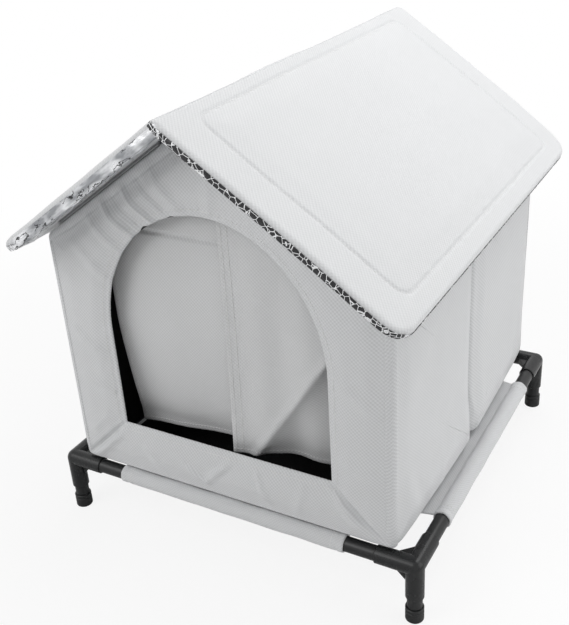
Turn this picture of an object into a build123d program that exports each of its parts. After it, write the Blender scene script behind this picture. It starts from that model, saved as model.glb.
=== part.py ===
"""Raised cat shelter: a padded fabric house with a gable roof on a low tube frame.

Millimetres. The origin is on the ground, under the middle of the shelter.
+X is the right side, +Y the rear and +Z up, so the doorway faces -Y.
"""
from build123d import *
import os
from math import cos, radians, sin, tan

# Tube frame: its rails lie outside the side walls and just inside the gable walls' faces
frame_side_margin = 23.0
frame_end_inset = 3.0
rail_height = 77.0
tube_od = 18.0
tube_wall = 1.2

# Moulded corner connectors and foot caps
socket_wall = 1.65
socket_clearance = 0.15
socket_reach = 46.0
leg_socket_reach = 44.0
tube_stop = 14.0
gusset_reach = 13.0
gusset_thick = 4.0
corner_web_thick = 9.0
mouth_chamfer = 0.8
cap_height = 18.5
cap_floor = 4.0
cap_rim = 3.0
cap_relief = 0.5
cap_bottom_round = 1.6

# Cot sheet with a sleeve round each rail
cloth = 1.2
sheet_notch_radius = 83.0
sleeve_clearance = 0.15
sleeve_hem_width = 7.0
sleeve_hem_raise = 0.4
sheet_top_over_axis = 5.0

# Floor liner
liner_thick = 4.0
liner_corner = 22.0
liner_gap = 1.0

# House walls
house_width = 434.0
house_depth = 484.0
wall_thick = 18.0
eave_height = 400.0
roof_slope = 35.0
wall_lift = 0.35
panel_gap = 0.3
wall_edge_round = 3.4
gable_foot_round = 6.0
side_foot_round = 18.0
eave_corner_round = 4.0
side_top_drop = 2.5
skin = 1.2
foam_gap = 0.25

# Doorway
door_width = 282.0
door_sill = 160.0
door_spring = 290.0
door_top = 452.0

# Door flaps and the band sewn over their top edge
flap_cloth = 1.6
flap_wave = 1.7
flap_pitch = 48.0
flap_bottom = 158.0
flap_top_over_arch = 8.0
flap_gable_margin = 16.0
flap_header_height = 20.0
flap_header_width = 180.0
flap_header_cloth = 1.2
flap_wall_gap = 0.3
flap_spacing = 0.3
right_flap_inner = 8.0
right_flap_outer = 154.0
left_flap_inner = 40.0
left_flap_outer = -147.0
left_flap_foot_taper = 20.0
left_flap_taper_height = 300.0

# Roof panels
gable_overhang = 54.0
eave_overhang = 28.75
roof_thick = 13.0
roof_edge_round = 4.5
roof_corner_round = 14.0
ridge_gap = 0.3
hem_height = 7.5
hem_gap = 0.3
channel_radius = 3.0
channel_depth = 1.8
channel_margin_ends = 48.0
channel_margin_eave = 24.0
channel_margin_ridge = 9.0
channel_corner = 18.0

# Hook and loop strips between the roof and the gables, and the ridge strip
strip_thick = 1.4
strip_gap = 0.3
strip_width = 11.0
strip_start = 40.0
strip_end = 196.0
ridge_strip_leg = 27.0

# Worked out from the sizes above
tube_r = tube_od / 2
socket_bore_r = tube_r + socket_clearance
socket_r = socket_bore_r + socket_wall
sleeve_bore_r = tube_r + sleeve_clearance
sleeve_r = sleeve_bore_r + cloth
half_x = house_width / 2
half_y = house_depth / 2
half_frame_x = half_x + frame_side_margin
half_frame_y = half_y - frame_end_inset
sheet_top = rail_height + sheet_top_over_axis
inner_x = half_x - wall_thick
inner_y = half_y - wall_thick
wall_bottom = rail_height + max(socket_r, sleeve_r + sleeve_hem_raise) + wall_lift
slope = radians(roof_slope)
roof_depth = house_depth + 2 * gable_overhang
roof_run = (half_x + eave_overhang) / cos(slope)
gable_peak = eave_height + half_x * tan(slope)
strip_stack = 2 * strip_thick + strip_gap
roof_under_peak = gable_peak + strip_stack / cos(slope)
flap_top = door_top + flap_top_over_arch
big = 2000.0

nodes = {}


def tube(length):
    """A length of steel tube along Z, centred."""
    return Cylinder(tube_r, length) - Cylinder(tube_r - tube_wall, length + 1)


def gusset(thick):
    """The web in the inner corner of two sockets along -X and -Y, centred on XY."""
    far = socket_r + gusset_reach
    near = socket_r - mouth_chamfer
    outline = Polyline((0, 0), (-far, 0), (-far, -near), (-near, -far), (0, -far), close=True)
    return Pos(0, 0, -thick / 2) * extrude(make_face(outline), thick)


def socket(reach, bored):
    """A socket along -Z from its corner: the outside, or the bore that takes the tube."""
    if bored:
        depth = reach - tube_stop
        return Pos(0, 0, -tube_stop - depth / 2 - 0.5) * Cylinder(socket_bore_r, depth + 1)
    outside = Pos(0, 0, -reach / 2) * Cylinder(socket_r, reach)
    mouth = outside.faces().sort_by(Axis.Z)[0].edges()
    return chamfer(mouth, mouth_chamfer)


def connector():
    """The rear right three-way connector, with its corner at the origin."""
    turns = [(Rot(0, 90, 0), socket_reach), (Rot(-90, 0, 0), socket_reach), (Rot(0, 0, 0), leg_socket_reach)]
    body = Sphere(socket_r)
    for turn, reach in turns:
        body += turn * socket(reach, False)
    body += gusset(corner_web_thick)
    body += Rot(90, 0, 0) * gusset(gusset_thick)
    body += Rot(0, -90, 0) * gusset(gusset_thick)
    for turn, reach in turns:
        body -= turn * socket(reach, True)
    return body


def foot_cap():
    """A cup under a leg, with a relief groove below its rim."""
    inner = socket_bore_r
    groove = socket_r - cap_relief
    profile = make_face(
        Polyline(
            (0, 0),
            (socket_r, 0),
            (socket_r, cap_height - 2 * cap_rim),
            (groove, cap_height - 2 * cap_rim + cap_relief),
            (groove, cap_height - cap_rim),
            (socket_r, cap_height - cap_rim + cap_relief),
            (socket_r, cap_height - mouth_chamfer),
            (socket_r - mouth_chamfer, cap_height),
            (inner, cap_height),
            (inner, cap_floor),
            (0, cap_floor),
            close=True,
        )
    )
    corner = profile.vertices().sort_by(Axis.Y).filter_by(lambda v: v.Y < 0.01 and v.X > 1)
    profile = fillet(corner, cap_bottom_round)
    return revolve(Plane.XZ * profile, Axis.Z)


def make_frame():
    """Four connectors, rails, legs and foot caps."""
    one = connector()
    cap = foot_cap()
    leg_top = rail_height - tube_stop
    leg_bottom = cap_floor + socket_clearance
    for y_name, y_side in (("front", -1), ("rear", 1)):
        for x_name, x_side in (("left", -1), ("right", 1)):
            piece = one if x_side > 0 else mirror(one, about=Plane.YZ)
            piece = piece if y_side > 0 else mirror(piece, about=Plane.XZ)
            x = x_side * half_frame_x
            y = y_side * half_frame_y
            nodes[f"corner_connector_{y_name}_{x_name}"] = Pos(x, y, rail_height) * piece
            nodes[f"leg_{y_name}_{x_name}"] = Pos(x, y, (leg_top + leg_bottom) / 2) * tube(leg_top - leg_bottom)
            nodes[f"foot_cap_{y_name}_{x_name}"] = Pos(x, y, 0) * cap
    across = Rot(0, 90, 0) * tube(2 * (half_frame_x - tube_stop))
    along = Rot(90, 0, 0) * tube(2 * (half_frame_y - tube_stop))
    nodes["rail_front"] = Pos(0, -half_frame_y, rail_height) * across
    nodes["rail_rear"] = Pos(0, half_frame_y, rail_height) * across
    nodes["rail_left"] = Pos(-half_frame_x, 0, rail_height) * along
    nodes["rail_right"] = Pos(half_frame_x, 0, rail_height) * along


def make_sheet():
    """The cot sheet: a flat cloth with notched corners and a hemmed sleeve on each side."""
    cloth_plate = Rectangle(2 * half_frame_x, 2 * half_frame_y)
    for x_side in (-1, 1):
        for y_side in (-1, 1):
            cloth_plate -= Pos(x_side * half_frame_x, y_side * half_frame_y) * Circle(sheet_notch_radius)
    sheet = Pos(0, 0, sheet_top - cloth) * extrude(cloth_plate, cloth)
    across = half_frame_x - sheet_notch_radius
    along = half_frame_y - sheet_notch_radius
    sleeves = [
        (Pos(0, -half_frame_y, rail_height) * Rot(0, 90, 0), across),
        (Pos(0, half_frame_y, rail_height) * Rot(0, 90, 0), across),
        (Pos(-half_frame_x, 0, rail_height) * Rot(90, 0, 0), along),
        (Pos(half_frame_x, 0, rail_height) * Rot(90, 0, 0), along),
    ]
    for place, half_length in sleeves:
        sheet += place * Cylinder(sleeve_r, 2 * half_length)
        for end in (-1, 1):
            middle = end * (half_length - sleeve_hem_width / 2)
            sheet += place * Pos(0, 0, middle) * Cylinder(sleeve_r + sleeve_hem_raise, sleeve_hem_width)
    for place, half_length in sleeves:
        sheet -= place * Cylinder(sleeve_bore_r, 2 * half_length + 2 * sheet_notch_radius)
    nodes["base_sheet"] = sheet


def make_liner():
    """The dark floor liner that lies on the sheet inside the walls."""
    outline = RectangleRounded(2 * (inner_x - liner_gap), 2 * (inner_y - liner_gap), liner_corner)
    nodes["floor_liner"] = Pos(0, 0, sheet_top) * extrude(outline, liner_thick)


def mitred(part, along_x, inset):
    """Cut a wall's ends at 45 degrees, so that neighbours meet at the house's upright corner seams."""
    back_off = (panel_gap / 2 + inset) * 2**0.5
    half, inner = (half_x, inner_x) if along_x else (half_y, inner_y)
    reach, inner_reach = (half_y, inner_y) if along_x else (half_x, inner_x)
    wide = half + wall_thick - back_off
    narrow = inner - wall_thick - back_off
    far = reach + wall_thick
    near = inner_reach - wall_thick
    for side in (-1, 1):
        corners = [(-wide, side * far), (wide, side * far), (narrow, side * near), (-narrow, side * near)]
        if not along_x:
            corners = [(y, x) for x, y in corners]
        plan = make_face(Polyline(*corners, close=True))
        wedge = extrude(plan, big)
        cut = part & wedge
        if cut is not None and cut.volume > 1:
            return cut
    raise ValueError("the wall lies outside both mitred strips")


def gable_outline(inset):
    """Outline of the front and rear walls, drawn in by inset, as X and height."""
    corners = Polyline(
        (-half_x, wall_bottom),
        (half_x, wall_bottom),
        (half_x, eave_height),
        (0, gable_peak),
        (-half_x, eave_height),
        close=True,
    )
    face = make_face(corners)
    face = fillet(face.vertices().group_by(Axis.Y)[0], gable_foot_round)
    eaves = [v for v in face.vertices() if abs(v.Y - eave_height) < 0.01]
    face = fillet(eaves, eave_corner_round)
    return offset(face, -inset, kind=Kind.INTERSECTION) if inset else face


def doorway(grow):
    """The arched doorway, made larger by grow, as X and height."""
    half = door_width / 2 + grow
    sill = door_sill - grow
    rise = door_top - door_spring + grow
    arch = EllipticalCenterArc((0, door_spring), half, rise, 0, arc_size=180)
    sides = Polyline((-half, door_spring), (-half, sill), (half, sill), (half, door_spring))
    return make_face([arch, sides])


def upright(outline, back, thick):
    """Stand an outline up as a slab whose rear face is at Y = back."""
    return extrude(Plane.XZ.offset(-back) * outline, thick)


def gable_slab(back, inset, door):
    """A front or rear wall drawn in by inset all round, with its long edges rounded."""
    outline = gable_outline(inset)
    if door:
        outline -= doorway(inset)
    slab = upright(outline, back - inset, wall_thick - 2 * inset)
    by_depth = slab.faces().sort_by(Axis.Y)
    rims = by_depth[0].edges() + by_depth[-1].edges()
    return mitred(fillet(rims, wall_edge_round - inset), True, inset)


def make_gable_wall(name, back, door):
    """A gable wall: a sewn cover and its foam core."""
    nodes[f"{name}_cover"] = gable_slab(back, 0, door) - gable_slab(back, skin, door)
    nodes[f"{name}_foam"] = gable_slab(back, skin + foam_gap, door)


def side_half(inset):
    """The right wall's rear half, drawn in by inset, with every edge rounded."""
    top_outer = eave_height - side_top_drop
    top_inner = top_outer + wall_thick * tan(slope)
    section = make_face(
        Polyline(
            (inner_x, wall_bottom),
            (half_x, wall_bottom),
            (half_x, top_outer),
            (inner_x, top_inner),
            close=True,
        )
    )
    if inset:
        section = offset(section, -inset, kind=Kind.INTERSECTION)
    length = half_y - panel_gap / 2 - 2 * inset
    half = upright(section, half_y - inset, length)
    foot = half.edges().filter_by(Axis.X).group_by(Axis.Y)[-1].sort_by(Axis.Z)[0]
    half = fillet(foot, side_foot_round - inset)
    half = fillet(half.edges(), wall_edge_round - inset)
    return mitred(half, False, inset)


def make_side_walls():
    """Each side wall is two padded halves that fold at the seam between them."""
    cover = side_half(0) - side_half(skin)
    foam = side_half(skin + foam_gap)
    for x_name, x_side in (("left", -1), ("right", 1)):
        for y_name, y_side in (("front", -1), ("rear", 1)):
            for kind, piece in (("cover", cover), ("foam", foam)):
                placed = piece if x_side > 0 else mirror(piece, about=Plane.YZ)
                placed = placed if y_side > 0 else mirror(placed, about=Plane.XZ)
                nodes[f"{x_name}_wall_{y_name}_{kind}"] = placed


def wavy_cloth(outline, front):
    """Hanging cloth: soft upright folds, cut to an outline in X and height."""
    half_waves = 2 * round(door_width / flap_pitch)
    step = flap_pitch / 2
    edges = []
    for shift in (0, flap_cloth):
        for i in range(-half_waves, half_waves):
            crest = front + shift + (flap_wave if i % 2 else 0)
            middle = front + shift + flap_wave / 2
            x = i * step
            edges.append(ThreePointArc((x, middle), (x + step / 2, crest), (x + step, middle)))
    for x in (-half_waves * step, half_waves * step):
        middle = front + flap_wave / 2
        edges.append(Line((x, middle), (x, middle + flap_cloth)))
    cloth_wall = Pos(0, 0, flap_bottom - 1) * extrude(make_face(edges), flap_top - flap_bottom + 2)
    return cloth_wall & upright(outline, front + big / 2, big)


def make_flaps():
    """Two overlapping door flaps behind the doorway, and the band over their top edge."""
    header = Pos(0, flap_top + panel_gap + flap_header_height / 2) * Rectangle(
        flap_header_width, flap_header_height
    )
    header &= gable_outline(flap_gable_margin)
    nodes["flap_header"] = upright(header, -inner_y + flap_header_cloth, flap_header_cloth)
    right_outline = make_face(
        Polyline(
            (right_flap_inner, flap_bottom),
            (right_flap_outer, flap_bottom),
            (right_flap_outer, flap_top),
            (right_flap_inner, flap_top),
            close=True,
        )
    )
    left_outline = make_face(
        Polyline(
            (left_flap_outer + left_flap_foot_taper, flap_bottom),
            (left_flap_inner, flap_bottom),
            (left_flap_inner, flap_top),
            (left_flap_outer, flap_top),
            (left_flap_outer, left_flap_taper_height),
            close=True,
        )
    )
    right_front = -inner_y + flap_wall_gap
    left_front = right_front + flap_cloth + flap_spacing
    nodes["flap_right"] = wavy_cloth(right_outline & gable_outline(flap_gable_margin), right_front)
    nodes["flap_left"] = wavy_cloth(left_outline & gable_outline(flap_gable_margin), left_front)


def place_roof(local):
    """Lay a panel drawn flat, with X down the slope, on the right side of the roof."""
    return Pos(0, 0, roof_under_peak) * Rot(0, roof_slope, 0) * local


def right_of_ridge(part, margin):
    """Keep what lies to the right of the ridge by half its gap and a margin."""
    edge = ridge_gap / 2 + margin
    keep = Pos(edge + big / 2, 0, 0) * Box(big, big, big)
    return part & keep


def channel(radius):
    """The sewn channel that runs round a roof panel's top face."""
    start = channel_margin_ridge
    run = roof_run - channel_margin_eave - start
    width = roof_depth - 2 * channel_margin_ends
    height = roof_thick - channel_depth + channel_radius
    path = (Plane.XY.offset(height) * Pos(start + run / 2, 0) * RectangleRounded(run, width, channel_corner)).wire()
    section = Plane(origin=path @ 0, z_dir=path % 0) * Circle(radius)
    return sweep(section, path=path)


def roof_slab(inset):
    """The right roof panel, drawn in by inset all round, in place."""
    lead = roof_thick * 3
    length = roof_run + lead - inset
    outline = Pos(length / 2 - lead, 0) * RectangleRounded(length, roof_depth - 2 * inset, roof_corner_round)
    slab = Pos(0, 0, inset) * extrude(outline, roof_thick - 2 * inset)
    by_height = slab.faces().sort_by(Axis.Z)
    rims = by_height[0].edges() + by_height[-1].edges()
    slab = fillet(rims, roof_edge_round - inset)
    slab -= channel(channel_radius + inset)
    return right_of_ridge(place_roof(slab), inset)


def rake_strips(under, thick):
    """Two strips along the right gable rakes, from under to under + thick above them."""
    length = (strip_end - strip_start) / cos(slope)
    middle = (strip_end + strip_start) / 2 / cos(slope)
    strips = []
    for y_side in (-1, 1):
        y = y_side * (half_y - wall_thick / 2)
        strips.append(Pos(middle, y, under + thick / 2) * Box(length, strip_width, thick))
    return [Pos(0, 0, gable_peak) * Rot(0, roof_slope, 0) * strip for strip in strips]


def make_roof():
    """Two padded panels that meet at the ridge: a cloth top, a foam core and a foil underside."""
    shell = roof_slab(0) - roof_slab(skin)
    above = place_roof(Pos(0, 0, hem_height + hem_gap / 2 + big / 2) * Box(big, big, big))
    below = place_roof(Pos(0, 0, hem_height - hem_gap / 2 - big / 2) * Box(big, big, big))
    pieces = {
        "cover": shell & above,
        "foam": roof_slab(skin + foam_gap),
        "foil": shell & below,
    }
    for kind, piece in pieces.items():
        nodes[f"roof_right_{kind}"] = piece
        nodes[f"roof_left_{kind}"] = mirror(piece, about=Plane.YZ)


def make_strips():
    """Hook strips under the roof, loop strips on the gables and the strip under the ridge."""
    front_loop, rear_loop = rake_strips(0, strip_thick)
    hooks = Compound(children=rake_strips(strip_thick + strip_gap, strip_thick))
    nodes["front_wall_loop_strips"] = Compound(children=[front_loop, mirror(front_loop, about=Plane.YZ)])
    nodes["rear_wall_loop_strips"] = Compound(children=[rear_loop, mirror(rear_loop, about=Plane.YZ)])
    nodes["roof_right_hook_strips"] = hooks
    nodes["roof_left_hook_strips"] = mirror(hooks, about=Plane.YZ)
    low = panel_gap / cos(slope)
    high = (strip_stack - panel_gap) / cos(slope)
    reach = ridge_strip_leg * cos(slope)
    drop = ridge_strip_leg * sin(slope)
    section = make_face(
        Polyline(
            (0, gable_peak + low),
            (reach, gable_peak + low - drop),
            (reach, gable_peak + high - drop),
            (0, gable_peak + high),
            (-reach, gable_peak + high - drop),
            (-reach, gable_peak + low - drop),
            close=True,
        )
    )
    length = roof_depth - 2 * roof_corner_round
    nodes["roof_ridge_strip"] = upright(section, length / 2, length)


make_frame()
make_sheet()
make_liner()
make_gable_wall("front_wall", -inner_y, True)
make_gable_wall("rear_wall", half_y, False)
make_side_walls()
make_flaps()
make_roof()
make_strips()

os.makedirs("parts", exist_ok=True)
for name, piece in nodes.items():
    export_step(piece, f"parts/{name}.step")
print(len(nodes), "nodes written")
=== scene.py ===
"""Dresses the raised cat shelter: padded cloth walls and roof, door flaps, cot sheet and tube frame."""

import bmesh
import bpy
import numpy as np
from mathutils import Matrix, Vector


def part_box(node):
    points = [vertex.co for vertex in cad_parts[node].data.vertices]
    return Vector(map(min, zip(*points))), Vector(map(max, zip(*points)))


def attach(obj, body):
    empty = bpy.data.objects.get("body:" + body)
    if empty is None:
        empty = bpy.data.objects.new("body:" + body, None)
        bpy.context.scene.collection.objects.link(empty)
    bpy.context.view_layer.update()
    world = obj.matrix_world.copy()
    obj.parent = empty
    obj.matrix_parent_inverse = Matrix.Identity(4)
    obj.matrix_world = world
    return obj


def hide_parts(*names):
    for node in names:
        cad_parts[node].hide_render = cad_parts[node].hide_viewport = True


bl_info = {
    "name": "Raised cat shelter",
    "version": (1, 0, 0),
    "blender": (4, 5, 0),
    "location": "View3D > Sidebar > Shelter",
    "description": "Builds the padded cloth house, its door flaps, cot and studio round the packed model",
    "category": "Object",
}

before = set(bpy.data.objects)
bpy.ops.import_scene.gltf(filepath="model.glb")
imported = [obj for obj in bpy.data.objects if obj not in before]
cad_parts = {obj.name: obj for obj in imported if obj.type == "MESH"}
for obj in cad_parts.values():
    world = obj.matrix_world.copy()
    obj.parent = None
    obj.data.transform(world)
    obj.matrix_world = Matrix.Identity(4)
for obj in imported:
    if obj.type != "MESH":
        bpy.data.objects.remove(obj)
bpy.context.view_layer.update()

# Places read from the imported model, in metres
wall_low, wall_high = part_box("rear_wall_cover")
half_y = wall_high.y
side_low, side_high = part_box("right_wall_rear_cover")
half_x = side_high.x
inner_x = side_low.x
wall_thick = half_x - inner_x
inner_y = half_y - wall_thick
wall_bottom = wall_low.z
gable_peak = wall_high.z
roof_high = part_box("roof_right_cover")[1]
half_roof = roof_high.y
apex = roof_high.z
liner_low, liner_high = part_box("floor_liner")

# Sizes of the sewn forms, in metres
slope = np.radians(35.0)
door_half = 0.141
door_sill = 0.160
door_spring = 0.290
door_rise = 0.162
roof_run = 0.300
roof_thick = 0.013
rail_height = 0.077
tube_r = 0.009
sleeve_r = 0.0104
frame_x = 0.240
frame_y = 0.239
sleeve_half_x = 0.157
sleeve_half_y = 0.156
sleeve_wrap = 0.065
flap_hang = 0.460
flap_gable_gap = 0.0200
foil_end_y = 0.2515
channel_ends = 0.050
channel_eave = 0.025
channel_ridge = 0.010
tape_start = 0.040
tape_end = 0.196
stitch_rise = 0.0002

# Mesh steps round a panel and round the door wall, and the seed of every random draw
fine = 240
door_fine = 500
seed = 7


class ShelterCloth(bpy.types.PropertyGroup):
    """Colours and weave of the cloth."""

    wall: bpy.props.FloatVectorProperty(
        name="Wall cloth",
        description="Colour of walls and roof",
        subtype="COLOR",
        default=(0.665, 0.672, 0.680),
    )
    flap: bpy.props.FloatVectorProperty(
        name="Flap cloth", description="Colour of the door flaps", subtype="COLOR", default=(0.640, 0.645, 0.650)
    )
    thread: bpy.props.FloatVectorProperty(
        name="Thread", description="Colour of the stitches", subtype="COLOR", default=(0.92, 0.92, 0.91)
    )
    weave: bpy.props.FloatProperty(
        name="Weave", description="Width of one diagonal rib", default=0.0034, unit="LENGTH", precision=4
    )


class ShelterPadding(bpy.types.PropertyGroup):
    """How full and how creased the padding is."""

    crown: bpy.props.FloatProperty(
        name="Crown", description="How far a panel swells", default=0.0038, unit="LENGTH", precision=4
    )
    crease: bpy.props.FloatProperty(
        name="Crease", description="Depth of the sewn creases", default=0.0046, unit="LENGTH", precision=4
    )


class ShelterHardware(bpy.types.PropertyGroup):
    """Colours of the tube frame."""

    plastic: bpy.props.FloatVectorProperty(
        name="Connectors", description="Moulded plastic", subtype="COLOR", default=(0.009, 0.0095, 0.010)
    )
    tube: bpy.props.FloatVectorProperty(
        name="Tubes", description="Powder coat", subtype="COLOR", default=(0.011, 0.0115, 0.012)
    )


class ShelterStudio(bpy.types.PropertyGroup):
    """Lamps, floor and camera."""

    azimuth: bpy.props.FloatProperty(name="Azimuth", description="Camera direction in degrees", default=30.57)
    elevation: bpy.props.FloatProperty(name="Elevation", description="Camera height in degrees", default=27.60)
    roll: bpy.props.FloatProperty(name="Roll", description="Camera roll in degrees", default=-3.73)
    lens: bpy.props.FloatProperty(name="Lens", description="Focal length in millimetres", default=53.32)
    place: bpy.props.FloatVectorProperty(
        name="Place", description="Camera position", subtype="TRANSLATION", default=(0.52186, -0.96115, 0.79969)
    )
    key: bpy.props.FloatProperty(name="Key lamp", description="Watts of the overhead lamp", default=18.5)
    side: bpy.props.FloatProperty(name="Side lamp", description="Watts of the right lamp", default=5.8)
    fill: bpy.props.FloatProperty(name="Fill lamp", description="Watts of the front lamp", default=10.5)
    sky: bpy.props.FloatProperty(name="Sky", description="Strength of the even light", default=0.36)


def settings(name):
    """The values of one property group, as its defaults unless a user changed them."""
    return getattr(bpy.context.scene, name)


# Outlines

def dense(corners, rounds):
    """Closed outline with rounded corners: straight between them, and at a corner C the curve
    (1-t)^2 A + 2t(1-t) C + t^2 B."""
    corners = np.asarray(corners, float)
    t = np.linspace(0, 1, 13)[:, None]
    parts = []
    for before, corner, after, r in zip(np.roll(corners, 1, 0), corners, np.roll(corners, -1, 0), rounds):
        a = corner + (before - corner) / np.linalg.norm(before - corner) * r
        b = corner + (after - corner) / np.linalg.norm(after - corner) * r
        parts.append((1 - t) ** 2 * a + 2 * t * (1 - t) * corner + t * t * b)
    return even(np.vstack(parts), 4000)


def even(points, count):
    """The closed line through the points, cut into count equal lengths."""
    closed = np.vstack([points, points[:1]])
    length = np.r_[0, np.cumsum(np.linalg.norm(np.diff(closed, axis=0), axis=1))]
    at = np.linspace(0, length[-1], count, endpoint=False)
    return np.column_stack([np.interp(at, length, closed[:, k]) for k in range(closed.shape[1])])


def matched(outline, keys, counts):
    """Stations on a closed outline: counts[i] equal steps from the point nearest keys[i] to the next key."""
    total = len(outline)
    at = [int(np.argmin(np.linalg.norm(outline - np.asarray(key), axis=1))) for key in keys]
    at = [at[0] + (i - at[0]) % total for i in at] + [at[0] + total]
    where = np.concatenate([np.linspace(a, b, n, endpoint=False) for a, b, n in zip(at, at[1:], counts)])
    low = np.floor(where).astype(int)
    share = (where - low)[:, None]
    return outline[low % total] * (1 - share) + outline[(low + 1) % total] * share


def inward(loop, distance):
    """A closed loop moved to its left by a distance, along the mean normal of each point's two neighbours."""
    run = np.roll(loop, -2, 0) - np.roll(loop, 2, 0)
    normal = np.column_stack([-run[:, 1], run[:, 0]])
    normal /= np.maximum(np.linalg.norm(normal, axis=1), 1e-9)[:, None]
    return loop + normal * distance


def paired(core, first):
    """A core line on which each station and its mirror twin share one place, so that the two sides meet."""
    twin = (first - np.arange(len(core))) % len(core)
    return (core + core[twin]) / 2


def rows_between(loops, heights, counts, bends):
    """Rows of a panel's face. Between two loops the place is A + (B-A)s and the height a + (b-a)h. A flat bend
    has s = t and h = (1-cos pi t)/2, a rise has s = 1-cos(pi t/2) and h = sin(pi t/2), and a fall has these
    two swapped."""
    places, raised = [loops[0]], [np.full(len(loops[0]), heights[0])]
    for i, (count, bend) in enumerate(zip(counts, bends)):
        t = np.arange(1, count + 1) / count
        s, h = t, (1 - np.cos(np.pi * t)) / 2
        if bend == "rise":
            s, h = 1 - np.cos(np.pi * t / 2), np.sin(np.pi * t / 2)
        if bend == "fall":
            s, h = np.sin(np.pi * t / 2), 1 - np.cos(np.pi * t / 2)
        for a, b in zip(s, h):
            places.append(loops[i] * (1 - a) + loops[i + 1] * a)
            raised.append(np.full(len(loops[0]), heights[i] * (1 - b) + heights[i + 1] * b))
    return np.array(places), np.array(raised)


# Folds and creases

def waves(x, z, size, height):
    """Soft uneven swell: the sum of eight sine waves in set directions, with lengths round size."""
    rng = np.random.default_rng(seed)
    total = np.zeros_like(x)
    for _ in range(8):
        turn, phase, stretch = rng.uniform(0, 2 * np.pi, 2).tolist() + [rng.uniform(0.6, 1.7)]
        total += np.sin((x * np.cos(turn) + z * np.sin(turn)) * 2 * np.pi / (size * stretch) + phase)
    return total * height / 8 ** 0.5


def ridges(x, z, lines):
    """Sum of straight creases. Each is (x0, z0, x1, z1, width, height) and adds
    height exp(-(d/width)^2) sin(pi t)^0.7, with d the distance from the line and t the place along it."""
    total = np.zeros_like(x)
    for x0, z0, x1, z1, width, height in lines:
        dx, dz = x1 - x0, z1 - z0
        length = np.hypot(dx, dz)
        t = np.clip(((x - x0) * dx + (z - z0) * dz) / length ** 2, 0, 1)
        d = ((x - x0) * dz - (z - z0) * dx) / length
        total += height * np.exp(-((d / width) ** 2)) * np.sin(np.pi * t) ** 0.7
    return total


def near(edge, width):
    """A mask that is 1 at an edge and fades as exp(-d/width)."""
    return np.exp(-np.abs(edge) / width)


def crumple(x, z, size, height):
    """Sharp random creases: the sum of six triangle waves |2 frac(u) - 1| - 1/2, bent by slow sines."""
    rng = np.random.default_rng(seed + 4)
    total = np.zeros_like(x)
    for _ in range(6):
        turn, phase, stretch = rng.uniform(0, 2 * np.pi, 2).tolist() + [rng.uniform(0.5, 1.8)]
        u = (x * np.cos(turn) + z * np.sin(turn)) / (size * stretch) + phase
        u = u + 0.35 * np.sin((z * np.cos(turn) - x * np.sin(turn)) / size * 2.1 + phase)
        total += np.abs(2 * (u % 1) - 1) - 0.5
    return total * height / 6 ** 0.5


# Meshes

def grid(name, points, uv, closed_rows, closed_stations, back_from=None):
    """A mesh of quads on a grid of rows and stations, closed either way, with its pattern map in metres. Rows from
    back_from on are the inner side, kept in a point mask that the cloth shader paints near-black: painted shade for
    the dark inside of the house."""
    rows, stations = points.shape[:2]
    i = np.arange(rows if closed_rows else rows - 1)[:, None]
    j = np.arange(stations if closed_stations else stations - 1)[None, :]
    a, b = i * stations, ((i + 1) % rows) * stations
    right = (j + 1) % stations
    quads = np.stack([a + j, a + right, b + right, b + j], -1).reshape(-1, 4)
    across = uv.shape[1]
    ua, ub = i * across, (i + 1) % uv.shape[0] * across
    maps = np.stack([ua + j, ua + (j + 1) % across, ub + (j + 1) % across, ub + j], -1).reshape(-1, 4)
    flat = points.reshape(-1, 3)
    if closed_rows and closed_stations:
        p = flat[quads]
        volume = np.einsum("ij,ij->i", p[:, 0], np.cross(p[:, 1] - p[:, 3], p[:, 2] - p[:, 0])).sum()
        if volume > 0:
            quads, maps = quads[:, ::-1], maps[:, ::-1]
    mesh = bpy.data.meshes.new(name)
    mesh.from_pydata(flat.tolist(), [], quads.tolist())
    layer = mesh.uv_layers.new(name="weave")
    layer.data.foreach_set("uv", uv.reshape(-1, 2)[maps.ravel()].astype(np.float32).ravel())
    # Mask of the inner rows, which the cloth shader paints near-black as painted shade for the inside of the house
    if back_from is not None:
        mask = np.zeros(points.shape[:2], np.float32)
        mask[back_from:] = 1
        mesh.attributes.new("lining", "FLOAT", "POINT").data.foreach_set("value", mask.ravel())
    mesh.shade_smooth()
    made = bpy.data.objects.new(name, mesh)
    bpy.context.scene.collection.objects.link(made)
    return made


def tidy(made):
    """Merge coincident points, drop empty faces and point the faces outwards."""
    work = bmesh.new()
    work.from_mesh(made.data)
    bmesh.ops.remove_doubles(work, verts=work.verts, dist=1e-5)
    bmesh.ops.recalc_face_normals(work, faces=work.faces)
    work.to_mesh(made.data)
    work.free()
    made.data.shade_smooth()
    return made


def finish(made, name, body, slot, *nodes):
    """Give a piece its material and its body, and hide the CAD nodes that it stands for. The slot is not used."""
    made.data.materials.clear()
    made.data.materials.append(bpy.data.materials[name])
    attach(made, body)
    if nodes:
        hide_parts(*nodes)
    return made


def thicken(made, thickness, offset):
    """Give a sheet its cloth thickness."""
    wall = made.modifiers.new("cloth", "SOLIDIFY")
    wall.thickness = thickness
    wall.offset = offset
    wall.use_even_offset = False


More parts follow.
